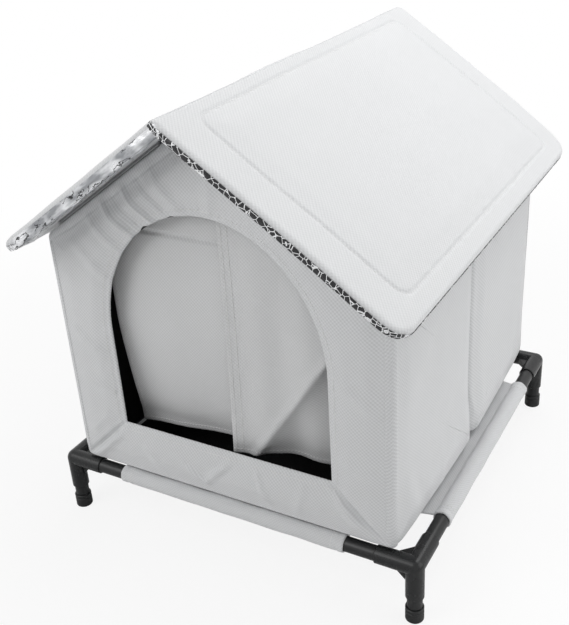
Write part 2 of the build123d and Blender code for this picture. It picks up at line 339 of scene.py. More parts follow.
def stitches(name, path, normals, pitch, length, radius, body):
    """A row of thread stitches. Each is a bead swept along the seam: radius sin(pi t)^0.5 round a short arc."""
    run = np.r_[0, np.cumsum(np.linalg.norm(np.diff(path, axis=0), axis=1))]
    middles = np.arange(pitch / 2, run[-1] - pitch / 2, pitch)
    if len(middles) == 0:
        return None
    t = np.linspace(0, 1, 5)
    at = middles[:, None] + (t[None, :] - 0.5) * length
    place = np.stack([np.interp(at, run, path[:, k]) for k in range(3)], -1)
    up = np.stack([np.interp(at, run, normals[:, k]) for k in range(3)], -1)
    up /= np.linalg.norm(up, axis=-1, keepdims=True)
    along = np.gradient(place, axis=1)
    along /= np.maximum(np.linalg.norm(along, axis=-1, keepdims=True), 1e-9)
    side = np.cross(along, up)
    thick = radius * np.sqrt(np.clip(np.sin(np.pi * (0.06 + 0.88 * t)), 0, 1))[None, :, None, None]
    turn = np.arange(6) * np.pi / 3
    cos_turn, sin_turn = np.cos(turn)[:, None], np.sin(turn)[:, None]
    ring = cos_turn * side[:, :, None] + sin_turn * up[:, :, None]
    lift = stitch_rise * np.sin(np.pi * t)[None, :, None, None] * up[:, :, None]
    points = (place[:, :, None] + ring * thick + lift).reshape(-1, 3)
    i, j = np.arange(4)[:, None], np.arange(6)[None, :]
    turned = (j + 1) % 6
    quad = np.stack([i * 6 + j, i * 6 + turned, (i + 1) * 6 + turned, (i + 1) * 6 + j], -1).reshape(-1, 4)
    faces = (np.arange(len(middles))[:, None, None] * 30 + quad[None]).reshape(-1, 4)
    mesh = bpy.data.meshes.new(name)
    mesh.from_pydata(points.tolist(), [], faces.tolist())
    mesh.shade_smooth()
    made = bpy.data.objects.new(name, mesh)
    bpy.context.scene.collection.objects.link(made)
    made.data.materials.append(bpy.data.materials["sewing_thread"])
    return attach(made, body)


def row_normals(points):
    """Unit normals of a grid of points, from the cross product of its row and station differences."""
    along = np.roll(points, -1, 1) - np.roll(points, 1, 1)
    across = np.gradient(points, axis=0)
    normal = np.cross(along, across)
    return normal / np.maximum(np.linalg.norm(normal, axis=-1, keepdims=True), 1e-12)


# Padding

def closed_panel(loops, heights, counts, bends, back_loops, back_heights, back_counts, back_bends):
    """The whole skin of a panel: its face rows from core to seam, then its back rows from seam to core."""
    face, rise = rows_between(loops, heights, counts, bends)
    back, fall = rows_between(back_loops, back_heights, back_counts, back_bends)
    return np.concatenate([face, back[1:]]), np.concatenate([rise, fall[1:]])


def pattern(places, heights):
    """Pattern map in metres: the place in the panel's plane, pushed outwards by the length up and over the rim."""
    steps = np.linalg.norm(np.diff(places, axis=0), axis=-1)
    climb = np.abs(np.diff(heights, axis=0))
    extra = np.cumsum(np.sqrt(steps ** 2 + climb ** 2) - steps, axis=0)
    middle = places.mean((0, 1))
    out = places - middle
    out /= np.maximum(np.linalg.norm(out, axis=-1, keepdims=True), 1e-6)
    return places + out * np.concatenate([np.zeros((1, places.shape[1])), extra])[..., None]


# Shared shader groups

def group(name, inputs, outputs):
    """A new shader node group with named inputs and outputs."""
    tree = bpy.data.node_groups.new(name, "ShaderNodeTree")
    for label, kind, value in inputs:
        socket = tree.interface.new_socket(label, in_out="INPUT", socket_type=kind)
        if value is not None:
            socket.default_value = value
    for label, kind in outputs:
        tree.interface.new_socket(label, in_out="OUTPUT", socket_type=kind)
    return tree, tree.nodes.new("NodeGroupInput"), tree.nodes.new("NodeGroupOutput")


def math_node(tree, operation, first, second=None, third=None):
    """A Math node whose inputs are sockets or numbers."""
    node = tree.nodes.new("ShaderNodeMath")
    node.operation = operation
    for socket, value in zip(node.inputs, (first, second, third)):
        if isinstance(value, bpy.types.NodeSocket):
            tree.links.new(value, socket)
        elif value is not None:
            socket.default_value = value
    return node.outputs[0]


def mix_colour(tree, share, first, second):
    """A colour Mix node whose inputs are sockets or values."""
    node = tree.nodes.new("ShaderNodeMix")
    node.data_type = "RGBA"
    for socket, value in ((node.inputs[0], share), (node.inputs[6], first), (node.inputs[7], second)):
        if isinstance(value, bpy.types.NodeSocket):
            tree.links.new(value, socket)
        elif isinstance(value, (int, float)):
            socket.default_value = value
        else:
            socket.default_value = (*value, 1)
    return node.outputs[2]


def noise(tree, vector, scale, detail, rough=0.5):
    """A noise texture's value."""
    node = tree.nodes.new("ShaderNodeTexNoise")
    node.inputs["Scale"].default_value = scale
    node.inputs["Detail"].default_value = detail
    node.inputs["Roughness"].default_value = rough
    tree.links.new(vector, node.inputs["Vector"])
    return node.outputs["Fac"]


def make_weave_group():
    """Twill weave: ribs sin 2pi 0.707(u+v), one rib wide, crossed by 0.6 sin 2pi 0.80(u-v), with u and v in ribs."""
    inputs = [("Vector", "NodeSocketVector", None), ("Rib", "NodeSocketFloat", 0.0028),
              ("Contrast", "NodeSocketFloat", 0.3)]
    outputs = [("Height", "NodeSocketFloat"), ("Shade", "NodeSocketFloat")]
    tree, start, end = group("Twill weave", inputs, outputs)
    rib_turns, cross_turns = 2 * np.pi * 0.707, 2 * np.pi * 0.80
    apart = tree.nodes.new("ShaderNodeSeparateXYZ")
    tree.links.new(start.outputs["Vector"], apart.inputs[0])
    wobble = math_node(tree, "MULTIPLY", noise(tree, start.outputs["Vector"], 160, 2), 0.0006)
    u = math_node(tree, "DIVIDE", math_node(tree, "ADD", apart.outputs[0], wobble), start.outputs["Rib"])
    v = math_node(tree, "DIVIDE", apart.outputs[1], start.outputs["Rib"])
    rib = math_node(tree, "SINE", math_node(tree, "MULTIPLY", math_node(tree, "ADD", u, v), rib_turns))
    cross = math_node(tree, "SINE", math_node(tree, "MULTIPLY", math_node(tree, "SUBTRACT", u, v), cross_turns))
    both = math_node(tree, "MULTIPLY_ADD", cross, 0.6, rib)
    height = math_node(tree, "MULTIPLY_ADD", both, 0.31, 0.5)
    tree.links.new(height, end.inputs["Height"])
    above = math_node(tree, "SUBTRACT", height, 0.5)
    tree.links.new(math_node(tree, "MULTIPLY_ADD", above, start.outputs["Contrast"], 1.0), end.inputs["Shade"])


def make_wear_group():
    """Handling marks: a slow stain and a fine lint speckle, both near 1."""
    inputs = [("Vector", "NodeSocketVector", None), ("Amount", "NodeSocketFloat", 0.05)]
    tree, start, end = group("Cloth wear", inputs, [("Shade", "NodeSocketFloat"), ("Bump", "NodeSocketFloat")])
    stain = math_node(tree, "SUBTRACT", noise(tree, start.outputs["Vector"], 9, 4, 0.6), 0.5)
    lint = math_node(tree, "SUBTRACT", noise(tree, start.outputs["Vector"], 420, 3, 0.7), 0.5)
    sum_up = math_node(tree, "MULTIPLY_ADD", lint, 0.6, stain)
    tree.links.new(math_node(tree, "MULTIPLY_ADD", sum_up, start.outputs["Amount"], 1.0), end.inputs["Shade"])
    tree.links.new(noise(tree, start.outputs["Vector"], 55, 5, 0.55), end.inputs["Bump"])


def make_moulding_group():
    """Moulded or coated surface: fine orange peel and dusty patches."""
    inputs = [("Vector", "NodeSocketVector", None), ("Peel", "NodeSocketFloat", 900.0)]
    outputs = [("Height", "NodeSocketFloat"), ("Dust", "NodeSocketFloat")]
    tree, start, end = group("Moulded skin", inputs, outputs)
    peel = tree.nodes.new("ShaderNodeTexNoise")
    peel.inputs["Detail"].default_value = 3
    tree.links.new(start.outputs["Vector"], peel.inputs["Vector"])
    tree.links.new(start.outputs["Peel"], peel.inputs["Scale"])
    tree.links.new(peel.outputs["Fac"], end.inputs["Height"])
    dust = noise(tree, start.outputs["Vector"], 60, 5, 0.65)
    ramp = math_node(tree, "MULTIPLY", math_node(tree, "SUBTRACT", dust, 0.52), 3.0)
    tree.links.new(math_node(tree, "MAXIMUM", ramp, 0.0), end.inputs["Dust"])


def place_group(tree, name, **values):
    """A group node in a material's tree, with its own values."""
    node = tree.nodes.new("ShaderNodeGroup")
    node.node_tree = bpy.data.node_groups[name]
    for label, value in values.items():
        if isinstance(value, bpy.types.NodeSocket):
            tree.links.new(value, node.inputs[label])
        else:
            node.inputs[label].default_value = value
    return node


def new_material(name, **constants):
    """A material with its Principled shader; constants are set on the shader's own sockets."""
    made = bpy.data.materials.new(name)
    made.use_nodes = True
    shader = made.node_tree.nodes["Principled BSDF"]
    for label, value in constants.items():
        shader.inputs[label.replace("_", " ")].default_value = value
    return made, made.node_tree, shader


def bump(tree, height, strength, distance, below=None):
    """A Bump node on a height socket, over another normal if one is given."""
    node = tree.nodes.new("ShaderNodeBump")
    node.inputs["Strength"].default_value = strength
    node.inputs["Distance"].default_value = distance
    tree.links.new(height, node.inputs["Height"])
    if below is not None:
        tree.links.new(below, node.inputs["Normal"])
    return node.outputs[0]


def cloth_material(name, colour, rib, depth, wear, contrast=0.22, rough=0.82, sheen=0.25):
    """Woven cloth: twill ribs in colour and relief, slow stains, soft small creases and a light sheen. Where the
    inner-side mask is 1 the colour drops to 3 percent, painted shade for the dark inside of the house."""
    made, tree, shader = new_material(name, Sheen_Weight=sheen, Sheen_Roughness=0.5)
    shader.inputs["Specular IOR Level"].default_value = 0.3
    map_node = tree.nodes.new("ShaderNodeUVMap")
    map_node.uv_map = "weave"
    weave = place_group(tree, "Twill weave", Vector=map_node.outputs[0], Rib=rib, Contrast=contrast)
    place = tree.nodes.new("ShaderNodeTexCoord").outputs["Object"]
    marks = place_group(tree, "Cloth wear", Vector=place, Amount=wear)
    shade = math_node(tree, "MULTIPLY", weave.outputs["Shade"], marks.outputs["Shade"])
    tinted = tree.nodes.new("ShaderNodeVectorMath")
    tinted.operation = "SCALE"
    # Inner side, marked by the point mask: the cloth at 3 percent of its colour, painted shade for the dark inside of
    # the house
    lining = tree.nodes.new("ShaderNodeAttribute")
    lining.attribute_name = "lining"
    inner = tuple(0.03 * c for c in colour)
    tree.links.new(mix_colour(tree, lining.outputs["Fac"], colour, inner), tinted.inputs[0])
    tree.links.new(shade, tinted.inputs["Scale"])
    tree.links.new(tinted.outputs[0], shader.inputs["Base Color"])
    tree.links.new(
        math_node(tree, "MULTIPLY_ADD", weave.outputs["Height"], -0.08, rough), shader.inputs["Roughness"]
    )
    soft = bump(tree, marks.outputs["Bump"], 0.5, 0.0010)
    tree.links.new(bump(tree, weave.outputs["Height"], 0.8, depth, soft), shader.inputs["Normal"])


def foil_material():
    """Crinkled silver foil in relief, with painted reflection: the flats' colour runs from near-white to mid-grey
    with a slow noise, and short near-black noise lines are painted crease shade. The part over the house is plain
    cloth, where the foil ends."""
    made, tree, shader = new_material("silver_foil")
    place = tree.nodes.new("ShaderNodeTexCoord").outputs["Object"]
    apart = tree.nodes.new("ShaderNodeSeparateXYZ")
    tree.links.new(place, apart.inputs[0])
    smooth = math_node(tree, "LESS_THAN", math_node(tree, "ABSOLUTE", apart.outputs[1]), foil_end_y)
    out = math_node(tree, "ABSOLUTE", apart.outputs[0])
    out_down = math_node(tree, "MULTIPLY", out, np.cos(slope))
    out_above = math_node(tree, "MULTIPLY", out, np.sin(slope))
    down = math_node(tree, "MULTIPLY_ADD", apart.outputs[2], -np.sin(slope), out_down)
    above = math_node(tree, "MULTIPLY_ADD", apart.outputs[2], np.cos(slope), out_above)
    along = tree.nodes.new("ShaderNodeCombineXYZ")
    for socket, value in zip(along.inputs, (math_node(tree, "MULTIPLY", down, 0.3), apart.outputs[1], above)):
        tree.links.new(value, socket)
    streaked = along.outputs[0]
    bend = noise(tree, streaked, 120, 2)
    edges = tree.nodes.new("ShaderNodeTexVoronoi")
    edges.feature = "DISTANCE_TO_EDGE"
    edges.inputs["Scale"].default_value = 105
    tree.links.new(streaked, edges.inputs["Vector"])
    # Painted crease shade: thin contour lines of a noise, kept where a second noise is high, made near-black
    middle = math_node(tree, "ABSOLUTE", math_node(tree, "SUBTRACT", noise(tree, streaked, 170, 3), 0.5))
    line = math_node(tree, "LESS_THAN", middle, 0.022)
    somewhere = math_node(tree, "GREATER_THAN", noise(tree, streaked, 75, 2), 0.49)
    dark = math_node(tree, "MULTIPLY", math_node(tree, "MULTIPLY", line, somewhere), 0.97)
    # Painted reflection: the flats' colour runs from near-white to mid-grey with the same slow noise that also feeds
    # the bump
    painted_reflection_share = tree.nodes.new("ShaderNodeMapRange")
    painted_reflection_share.inputs["From Min"].default_value = 0.38
    painted_reflection_share.inputs["From Max"].default_value = 0.62
    tree.links.new(bend, painted_reflection_share.inputs["Value"])
    flat = mix_colour(tree, painted_reflection_share.outputs["Result"], (0.96, 0.97, 0.99), (0.34, 0.35, 0.37))
    tree.links.new(math_node(tree, "MULTIPLY_ADD", bend, 0.20, 0.20), shader.inputs["Roughness"])
    creased = math_node(tree, "MULTIPLY", edges.outputs["Distance"], 0.8)
    tree.links.new(bump(tree, math_node(tree, "ADD", creased, bend), 0.9, 0.0030), shader.inputs["Normal"])
    # Near-black painted crease shade laid over the painted reflection of the flats
    foil_painted_shading = mix_colour(tree, dark, flat, (0.012, 0.012, 0.014))
    tree.links.new(mix_colour(tree, smooth, foil_painted_shading, (0.72, 0.73, 0.74)), shader.inputs["Base Color"])
    metal = math_node(tree, "MULTIPLY_ADD", dark, -0.45, 0.50)
    foiled = math_node(tree, "SUBTRACT", 1.0, smooth)
    tree.links.new(math_node(tree, "MULTIPLY", metal, foiled), shader.inputs["Metallic"])


def edge_foil_material():
    """The foil where it is gathered into the roof's edge, with painted reflection: near-black blotches of a noise
    parted by thin bright lines at cell edges, in relief from the same noise.
    """
    made, tree, shader = new_material("gathered_foil")
    place = tree.nodes.new("ShaderNodeTexCoord").outputs["Object"]
    blotch = noise(tree, place, 120, 2, 0.5)
    cells = tree.nodes.new("ShaderNodeTexVoronoi")
    cells.feature = "DISTANCE_TO_EDGE"
    cells.inputs["Scale"].default_value = 150
    tree.links.new(place, cells.inputs["Vector"])
    # Painted reflection: a noise splits the colour into near-black and bright patches, with bright lines along the
    # cell edges
    line = math_node(tree, "LESS_THAN", cells.outputs["Distance"], 0.045)
    black = math_node(tree, "GREATER_THAN", blotch, 0.37)
    bright = math_node(tree, "MAXIMUM", math_node(tree, "SUBTRACT", 1.0, black), line)
    painted_reflection_colour = mix_colour(tree, bright, (0.018, 0.018, 0.020), (0.88, 0.89, 0.90))
    tree.links.new(painted_reflection_colour, shader.inputs["Base Color"])
    tree.links.new(math_node(tree, "MULTIPLY_ADD", bright, 0.35, 0.2), shader.inputs["Metallic"])
    tree.links.new(math_node(tree, "MULTIPLY_ADD", blotch, 0.3, 0.18), shader.inputs["Roughness"])
    tree.links.new(bump(tree, blotch, 0.9, 0.0015), shader.inputs["Normal"])


def hard_material(name, colour, rough, peel, dust_share, depth):
    """Moulded plastic, rubber or powder coat: peel in relief and in gloss, with a little pale dust."""
    made, tree, shader = new_material(name, Specular_IOR_Level=0.36)
    place = tree.nodes.new("ShaderNodeTexCoord").outputs["Object"]
    skin = place_group(tree, "Moulded skin", Vector=place, Peel=peel)
    dust = math_node(tree, "MULTIPLY", skin.outputs["Dust"], dust_share)
    tree.links.new(mix_colour(tree, dust, colour, (0.22, 0.22, 0.22)), shader.inputs["Base Color"])
    tree.links.new(math_node(tree, "MULTIPLY_ADD", skin.outputs["Dust"], 0.25, rough), shader.inputs["Roughness"])
    tree.links.new(bump(tree, skin.outputs["Height"], 0.6, depth), shader.inputs["Normal"])


def tape_material(name, colour, scale):
    """Hook or loop tape: a field of small bristles in relief and shade."""
    made, tree, shader = new_material(name, Sheen_Weight=0.3)
    place = tree.nodes.new("ShaderNodeTexCoord").outputs["Object"]
    dots = tree.nodes.new("ShaderNodeTexVoronoi")
    dots.inputs["Scale"].default_value = scale
    tree.links.new(place, dots.inputs["Vector"])
    shade = mix_colour(tree, dots.outputs["Distance"], colour, tuple(0.6 * c for c in colour))
    tree.links.new(shade, shader.inputs["Base Color"])
    rough = math_node(tree, "MULTIPLY_ADD", dots.outputs["Distance"], 0.1, 0.85)
    tree.links.new(rough, shader.inputs["Roughness"])
    tree.links.new(bump(tree, dots.outputs["Distance"], 1.0, 0.0006), shader.inputs["Normal"])


def thread_material(colour):
    """Twisted sewing thread: a fine diagonal ply."""
    made, tree, shader = new_material("sewing_thread", Sheen_Weight=0.3)
    place = tree.nodes.new("ShaderNodeTexCoord").outputs["Object"]
    ply = noise(tree, place, 2200, 2)
    dim = tuple(0.75 * c for c in colour)
    tree.links.new(mix_colour(tree, ply, colour, dim), shader.inputs["Base Color"])
    tree.links.new(math_node(tree, "MULTIPLY_ADD", ply, 0.2, 0.55), shader.inputs["Roughness"])
    tree.links.new(bump(tree, ply, 0.6, 0.0002), shader.inputs["Normal"])


class SHELTER_OT_finishes(bpy.types.Operator):
    """Make the shader groups and the materials of every finish"""

    bl_idname = "shelter.finishes"
    bl_label = "Finishes"

    def execute(self, context):
        cloth = settings("shelter_cloth")
        hard = settings("shelter_hardware")
        make_weave_group()
        make_wear_group()
        make_moulding_group()
        wall, flap = tuple(cloth.wall), tuple(cloth.flap)
        cloth_material("wall_cloth", wall, cloth.weave, 0.00014, 0.06)
        # The roof cloth is the wall cloth made 5 percent lighter: painted light for the roof's brighter top
        cloth_material("roof_cloth", tuple(1.05 * c for c in wall), cloth.weave, 0.00024, 0.04, 0.12)
        cloth_material("flap_cloth", flap, 0.95 * cloth.weave, 0.00014, 0.08, 0.20)
        cloth_material("sheet_cloth", wall, 0.8 * cloth.weave, 0.00018, 0.05, 0.15)
        # The floor mat is real; its near-black colour is painted shade for the dark inside of the house
        cloth_material("liner_cloth", (0.012, 0.012, 0.013), 0.9 * cloth.weave, 0.0003, 0.2, 0.2, 0.9, 0.1)
        foil_material()
        edge_foil_material()
        thread_material(tuple(cloth.thread))
        tape_material("loop_tape", (0.42, 0.43, 0.44), 1400)
        tape_material("hook_tape", (0.30, 0.31, 0.32), 1000)
        hard_material("connector_plastic", tuple(hard.plastic), 0.26, 1400, 0.05, 0.00005)
        hard_material("cap_rubber", tuple(0.9 * c for c in hard.plastic), 0.42, 1800, 0.08, 0.00006)
        hard_material("tube_coat", tuple(hard.tube), 0.30, 1000, 0.03, 0.00008)
        return {"FINISHED"}


# The sewn house

def gable_outline(inset):
    """Outline of a gable wall as X and height, anticlockwise from its bottom left, drawn in by inset."""
    x = half_x - inset
    low = wall_bottom + inset
    eave = gable_peak - half_x * np.tan(slope) - 0.3 * inset
    peak = gable_peak - inset / np.cos(slope)
    corners = [(-x, low), (x, low), (x, eave), (0, peak), (-x, eave)]
    foot = max(0.007 - inset, 0.0015)
    return dense(corners, [foot, foot, 0.004, 0.006, 0.004])


def door_outline(grow):
    """The doorway as X and height: a half ellipse over a box, made larger by grow."""
    half = door_half + grow
    angle = np.linspace(0, np.pi, 200)
    arch = np.column_stack([half * np.cos(angle), door_spring + (door_rise + grow) * np.sin(angle)])
    box = [(-half, door_spring), (-half, door_sill - grow), (half, door_sill - grow), (half, door_spring)]
    return even(np.vstack([arch, box[1:3]]), 4000)


def front_creases(x, z):
    """The front wall's creases: valleys from door corners to wall corners, ridges over the arch and folds in
    the sill."""
    deep = settings("shelter_padding").crease
    lines = [
        (-0.141, 0.160, -0.217, 0.088, 0.0035, -1.5 * deep),
        (-0.136, 0.157, -0.205, 0.088, 0.006, 0.9 * deep),
        (0.141, 0.160, 0.217, 0.088, 0.0035, -1.2 * deep),
        (0.146, 0.150, 0.190, 0.088, 0.006, 0.9 * deep),
        (-0.098, 0.478, -0.048, 0.428, 0.0045, 1.3 * deep),
        (-0.128, 0.456, -0.075, 0.406, 0.0048, 1.4 * deep),
        (-0.113, 0.466, -0.062, 0.417, 0.006, -0.9 * deep),
        (-0.150, 0.438, -0.103, 0.390, 0.006, 0.9 * deep),
        (-0.058, 0.505, -0.016, 0.448, 0.007, 0.9 * deep),
        (-0.075, 0.492, -0.030, 0.440, 0.005, -0.7 * deep),
        (-0.175, 0.405, -0.125, 0.350, 0.008, 0.7 * deep),
        (0.030, 0.520, 0.012, 0.455, 0.008, 0.5 * deep),
        (-0.060, 0.128, -0.020, 0.106, 0.0045, 1.0 * deep),
        (-0.030, 0.104, 0.018, 0.156, 0.0045, 0.8 * deep),
        (0.045, 0.150, 0.062, 0.100, 0.005, 0.7 * deep),
        (-0.115, 0.140, -0.085, 0.098, 0.006, 0.5 * deep),
        (0.110, 0.148, 0.095, 0.098, 0.006, 0.6 * deep),
        (-0.205, 0.290, -0.150, 0.255, 0.008, 0.8 * deep),
        (-0.200, 0.225, -0.146, 0.205, 0.007, 0.6 * deep),
        (-0.160, 0.175, -0.200, 0.130, 0.006, 0.5 * deep),
        (0.150, 0.300, 0.205, 0.260, 0.009, 0.6 * deep),
        (0.150, 0.200, 0.205, 0.180, 0.008, 0.5 * deep),
    ]
    return ridges(x, z, lines)


def gable_panel(door):
    """A gable wall's skin: face rows from the doorway (or a short upright core) out over a sewn gusset to the mitred
    corner seam, and back rows in again. Heights are forward of the panel's middle plane."""
    half = wall_thick / 2
    steps = door_fine if door else fine
    counts = [steps // 3, steps // 6, steps // 8, steps // 3, steps // 3, steps // 8, steps // 6]
    gable_keys = [(-half_x, wall_bottom), (half_x, wall_bottom), (half_x, 0.30), (half_x, 0.4), (0, gable_peak),
                  (-half_x, 0.4), (-half_x, 0.30)]
    outer = matched(gable_outline(0), gable_keys, counts)
    back_outer = outer.copy()
    back_outer[:, 0] = np.clip(back_outer[:, 0], -inner_x + 0.0003, inner_x - 0.0003)
    gusset = matched(gable_outline(0.0075), gable_keys, counts)
    beyond = matched(gable_outline(0.0115), gable_keys, counts)
    upper = np.clip((outer[:, 1] - 0.39) / 0.03, 0, 1)[:, None]
    steep = matched(gable_outline(0.0125), gable_keys, counts)
    steeper = matched(gable_outline(0.0165), gable_keys, counts)
    gusset = gusset * (1 - upper) + steep * upper
    beyond = beyond * (1 - upper) + steeper * upper
    rim = half - 0.0005
    if door:
        def door_keys(grow):
            x, low = door_half + grow, door_sill - grow
            bend = np.radians(35)
            shoulder = (x * np.cos(bend), door_spring + (door_rise + grow) * np.sin(bend))
            return [(-x, low), (x, low), (x, door_spring), shoulder, (0, door_spring + door_rise + grow),
                    (-shoulder[0], shoulder[1]), (-x, door_spring)]
        core = matched(door_outline(0), door_keys(0), counts)
        lip = matched(door_outline(0.0030), door_keys(0.003), counts)
        hem = matched(door_outline(0.0085), door_keys(0.0085), counts)
        loops = [core, lip, hem, beyond, gusset, outer]
        heights = [0.0045, 0.0068, 0.0078, rim, rim - 0.0010, -0.0010]
        rows = [5, 5, 40, 5, 12]
        bends = ["rise", "flat", "flat", "flat", "fall"]
        jamb = matched(door_outline(0.013), door_keys(0.013), counts)
        back_loops = [outer, back_outer, jamb, core]
        back_heights = [-0.0010, -half + 0.0004, -half + 0.0012, 0.0045]
        back_rows = [5, 8, 8]
    else:
        low, high = wall_bottom + 0.12, gable_peak - 0.2
        core = paired(np.column_stack([0.0 * outer[:, 0], np.clip(outer[:, 1], low, high)]), counts[0])
        loops = [core, beyond, gusset, outer]
        heights = [rim + 0.001, rim, rim - 0.0010, -0.0010]
        rows = [46, 5, 12]
        bends = ["flat", "flat", "fall"]
        back_loops = [outer, back_outer, core]
        back_heights = [-0.0010, -half + 0.0004, -half + 0.0004]
        back_rows = [6, 12]
    back_bends = ["flat"] * len(back_rows)
    places, raised = closed_panel(loops, heights, rows, bends, back_loops, back_heights, back_rows, back_bends)
    return places, raised, sum(rows), rows


def dress_gable(places, raised, face_rows, door):
    """Place a gable skin in the model: crown, waves and creases on its face rows, the back left flat."""
    padding = settings("shelter_padding")
    x, z = places[..., 0], places[..., 1]
    outline_gap = np.minimum(half_x - np.abs(x), z - wall_bottom)
    outline_gap = np.minimum(outline_gap, (gable_peak - np.abs(x) * np.tan(slope) - z) * np.cos(slope))
    door_gap = 1.0
    if door:
        ellipse = np.hypot(x / door_half, np.maximum(z - door_spring, 0) / door_rise) - 1
        beside = np.maximum(np.abs(x) - door_half, door_sill - z)
        door_gap = np.where(z > door_spring, ellipse * door_half, beside)
    inside = np.clip(np.minimum(outline_gap - 0.010, door_gap - 0.004) / 0.022, 0, 1)
    inside = inside * inside * (3 - 2 * inside)
    bulge = padding.crown * inside + waves(x, z, 0.11, 0.0007) * inside
    bulge += waves(x, z, 0.035, 0.00028) * inside
    if door:
        bulge += front_creases(x, z) * np.clip(outline_gap / 0.012, 0, 1)
        pucker = np.sin(np.arange(x.shape[1]) * 2 * np.pi / 9.3)[None, :] * near(door_gap - 0.008, 0.006)
        bulge += 0.00022 * pucker
    on_face = np.zeros(x.shape[0])
    on_face[: face_rows + 1] = 1
    depth = raised + bulge * on_face[:, None]
    side = -1 if door else 1
    return np.stack([x, side * (half_y - wall_thick / 2 + depth), z], -1)


class SHELTER_OT_front_wall(bpy.types.Operator):
    """Sew the front wall with its arched doorway"""

    bl_idname = "shelter.front_wall"
    bl_label = "Front wall"

    def execute(self, context):
        places, raised, face_rows, rows = gable_panel(True)
        points = dress_gable(places, raised, face_rows, True)
        # Rows from face_rows + 7 on are the inner side, painted near-black as painted shade
        wall = tidy(grid("front_wall", points, pattern(places, raised), True, True, face_rows + 7))
        finish(wall, "wall_cloth", "front_wall", "cloth_grey", "front_wall_cover", "front_wall_foam")
        normal = row_normals(points)
        normal *= np.where(normal[..., 1:2] > 0, -1, 1)
        hem_row = rows[0] + rows[1]
        loop = np.concatenate([points[hem_row], points[hem_row][:1]])
        up = np.concatenate([normal[hem_row], normal[hem_row][:1]])
        stitches("door_hem_stitches", loop, up, 0.0044, 0.0030, 0.00042, "front_wall")
        return {"FINISHED"}


class SHELTER_OT_rear_wall(bpy.types.Operator):
    """Sew the rear wall"""

    bl_idname = "shelter.rear_wall"
    bl_label = "Rear wall"

    def execute(self, context):
        places, raised, face_rows, _ = gable_panel(False)
        points = dress_gable(places, raised, face_rows, False)
        # Rows from face_rows + 6 on are the inner side, painted near-black as painted shade
        wall = tidy(grid("rear_wall", points, pattern(places, raised), False, True, face_rows + 6))
        finish(wall, "wall_cloth", "base", "cloth_grey", "rear_wall_cover", "rear_wall_foam")
        return {"FINISHED"}


def side_panel():
    """The right wall's rear half as Y and height: face rows from a level core to the seam, and back rows in again."""
    top = side_high.z
    low = wall_bottom
    face_top = top - wall_thick * np.tan(slope)
    near_y = 0.0004
    corners = [(near_y, low), (half_y - 0.0003, low), (half_y - 0.0003, face_top), (near_y, face_top)]
    outline = dense(corners, [0.010, 0.022, 0.004, 0.004])
    counts = [fine // 4, fine // 4, fine // 4, fine // 4]
    outer = matched(outline, corners, counts)
    seam = inward(outer, 0.0095)
    core_low, core_high = low + 0.10, face_top - 0.10
    core = np.column_stack([np.full(len(outer), half_y / 2), np.clip(outer[:, 1], core_low, core_high)])
    core = paired(core, counts[0])
    back_outer = outer.copy()
    back_outer[:, 0] = np.clip(back_outer[:, 0], near_y, inner_y - 0.0003)
    back_outer[:, 1] = np.where(outer[:, 1] > face_top - 0.001, top - 0.001, outer[:, 1])
    half = wall_thick / 2
    rim = half - 0.0003
    rows = [40, 14]
    back_rows = [6, 20]
    places, raised = closed_panel(
        [core, seam, outer], [rim, rim, -0.0010], rows, ["flat", "fall"],
        [outer, back_outer, core], [-0.0010, -half + 0.0004, -half + 0.0004], back_rows, ["flat", "flat"],
    )
    return places, raised, sum(rows)


def dress_side(places, raised, face_rows):
    """Place the right rear half: crown, waves and the folds that gather at its foot and its centre seam."""
    padding = settings("shelter_padding")
    y, z = places[..., 0], places[..., 1]
    edge = np.minimum(np.minimum(y, half_y - y), np.minimum(z - wall_bottom, side_high.z - 0.0126 - z))
    inside = np.clip((edge - 0.006) / 0.030, 0, 1)
    inside = inside * inside * (3 - 2 * inside)
    lines = [
        (0.215, 0.175, 0.185, 0.092, 0.012, 0.0016),
        (0.190, 0.150, 0.150, 0.092, 0.010, -0.0012),
        (0.030, 0.300, 0.012, 0.150, 0.010, 0.0009),
        (0.120, 0.120, 0.100, 0.092, 0.009, 0.0009),
        (0.235, 0.330, 0.205, 0.220, 0.014, -0.0010),
    ]
    bulge = padding.crown * inside + (waves(y, z, 0.15, 0.0008) + waves(y, z, 0.05, 0.0002)) * inside
    bulge += ridges(y, z, lines) * np.clip(edge / 0.01, 0, 1)
    bulge += 0.009 * np.exp(-(((z - wall_bottom) / 0.050) ** 2)) * np.clip(1 - y / half_y, 0, 1) ** 0.5
    bulge = np.minimum(bulge, 0.5 * y)
    bulge[face_rows + 1:] = 0
    return np.stack([half_x - wall_thick / 2 + raised + bulge, y, z], -1)


class SHELTER_OT_side_walls(bpy.types.Operator):
    """Sew the four halves of the side walls"""

    bl_idname = "shelter.side_walls"
    bl_label = "Side walls"

    def execute(self, context):
        places, raised, face_rows = side_panel()
        points = dress_side(places, raised, face_rows)
        uv = pattern(places, raised)
        for x_name, x_side in (("left", -1), ("right", 1)):
            for y_name, y_side in (("front", -1), ("rear", 1)):
                placed = points * np.array([x_side, y_side, 1])
                # Rows from face_rows + 6 on are the inner side, painted near-black as painted shade
                half = tidy(grid(f"{x_name}_wall_{y_name}", placed, uv, False, True, face_rows + 6))
                node = f"{x_name}_wall_{y_name}"
                body = f"{x_name}_{y_name}_half"
                finish(half, "wall_cloth", body, "cloth_light", f"{node}_cover", f"{node}_foam")
        return {"FINISHED"}


# The roof

def lay_on_slope(p, y, h, side):
    """From a panel's own lengths to the model: p down the slope from the ridge, y along it, h above its underside."""
    top = apex - roof_thick / np.cos(slope)
    x = p * np.cos(slope) + h * np.sin(slope)
    z = top - p * np.sin(slope) + h * np.cos(slope)
    return np.stack([side * x, y, z], -1)


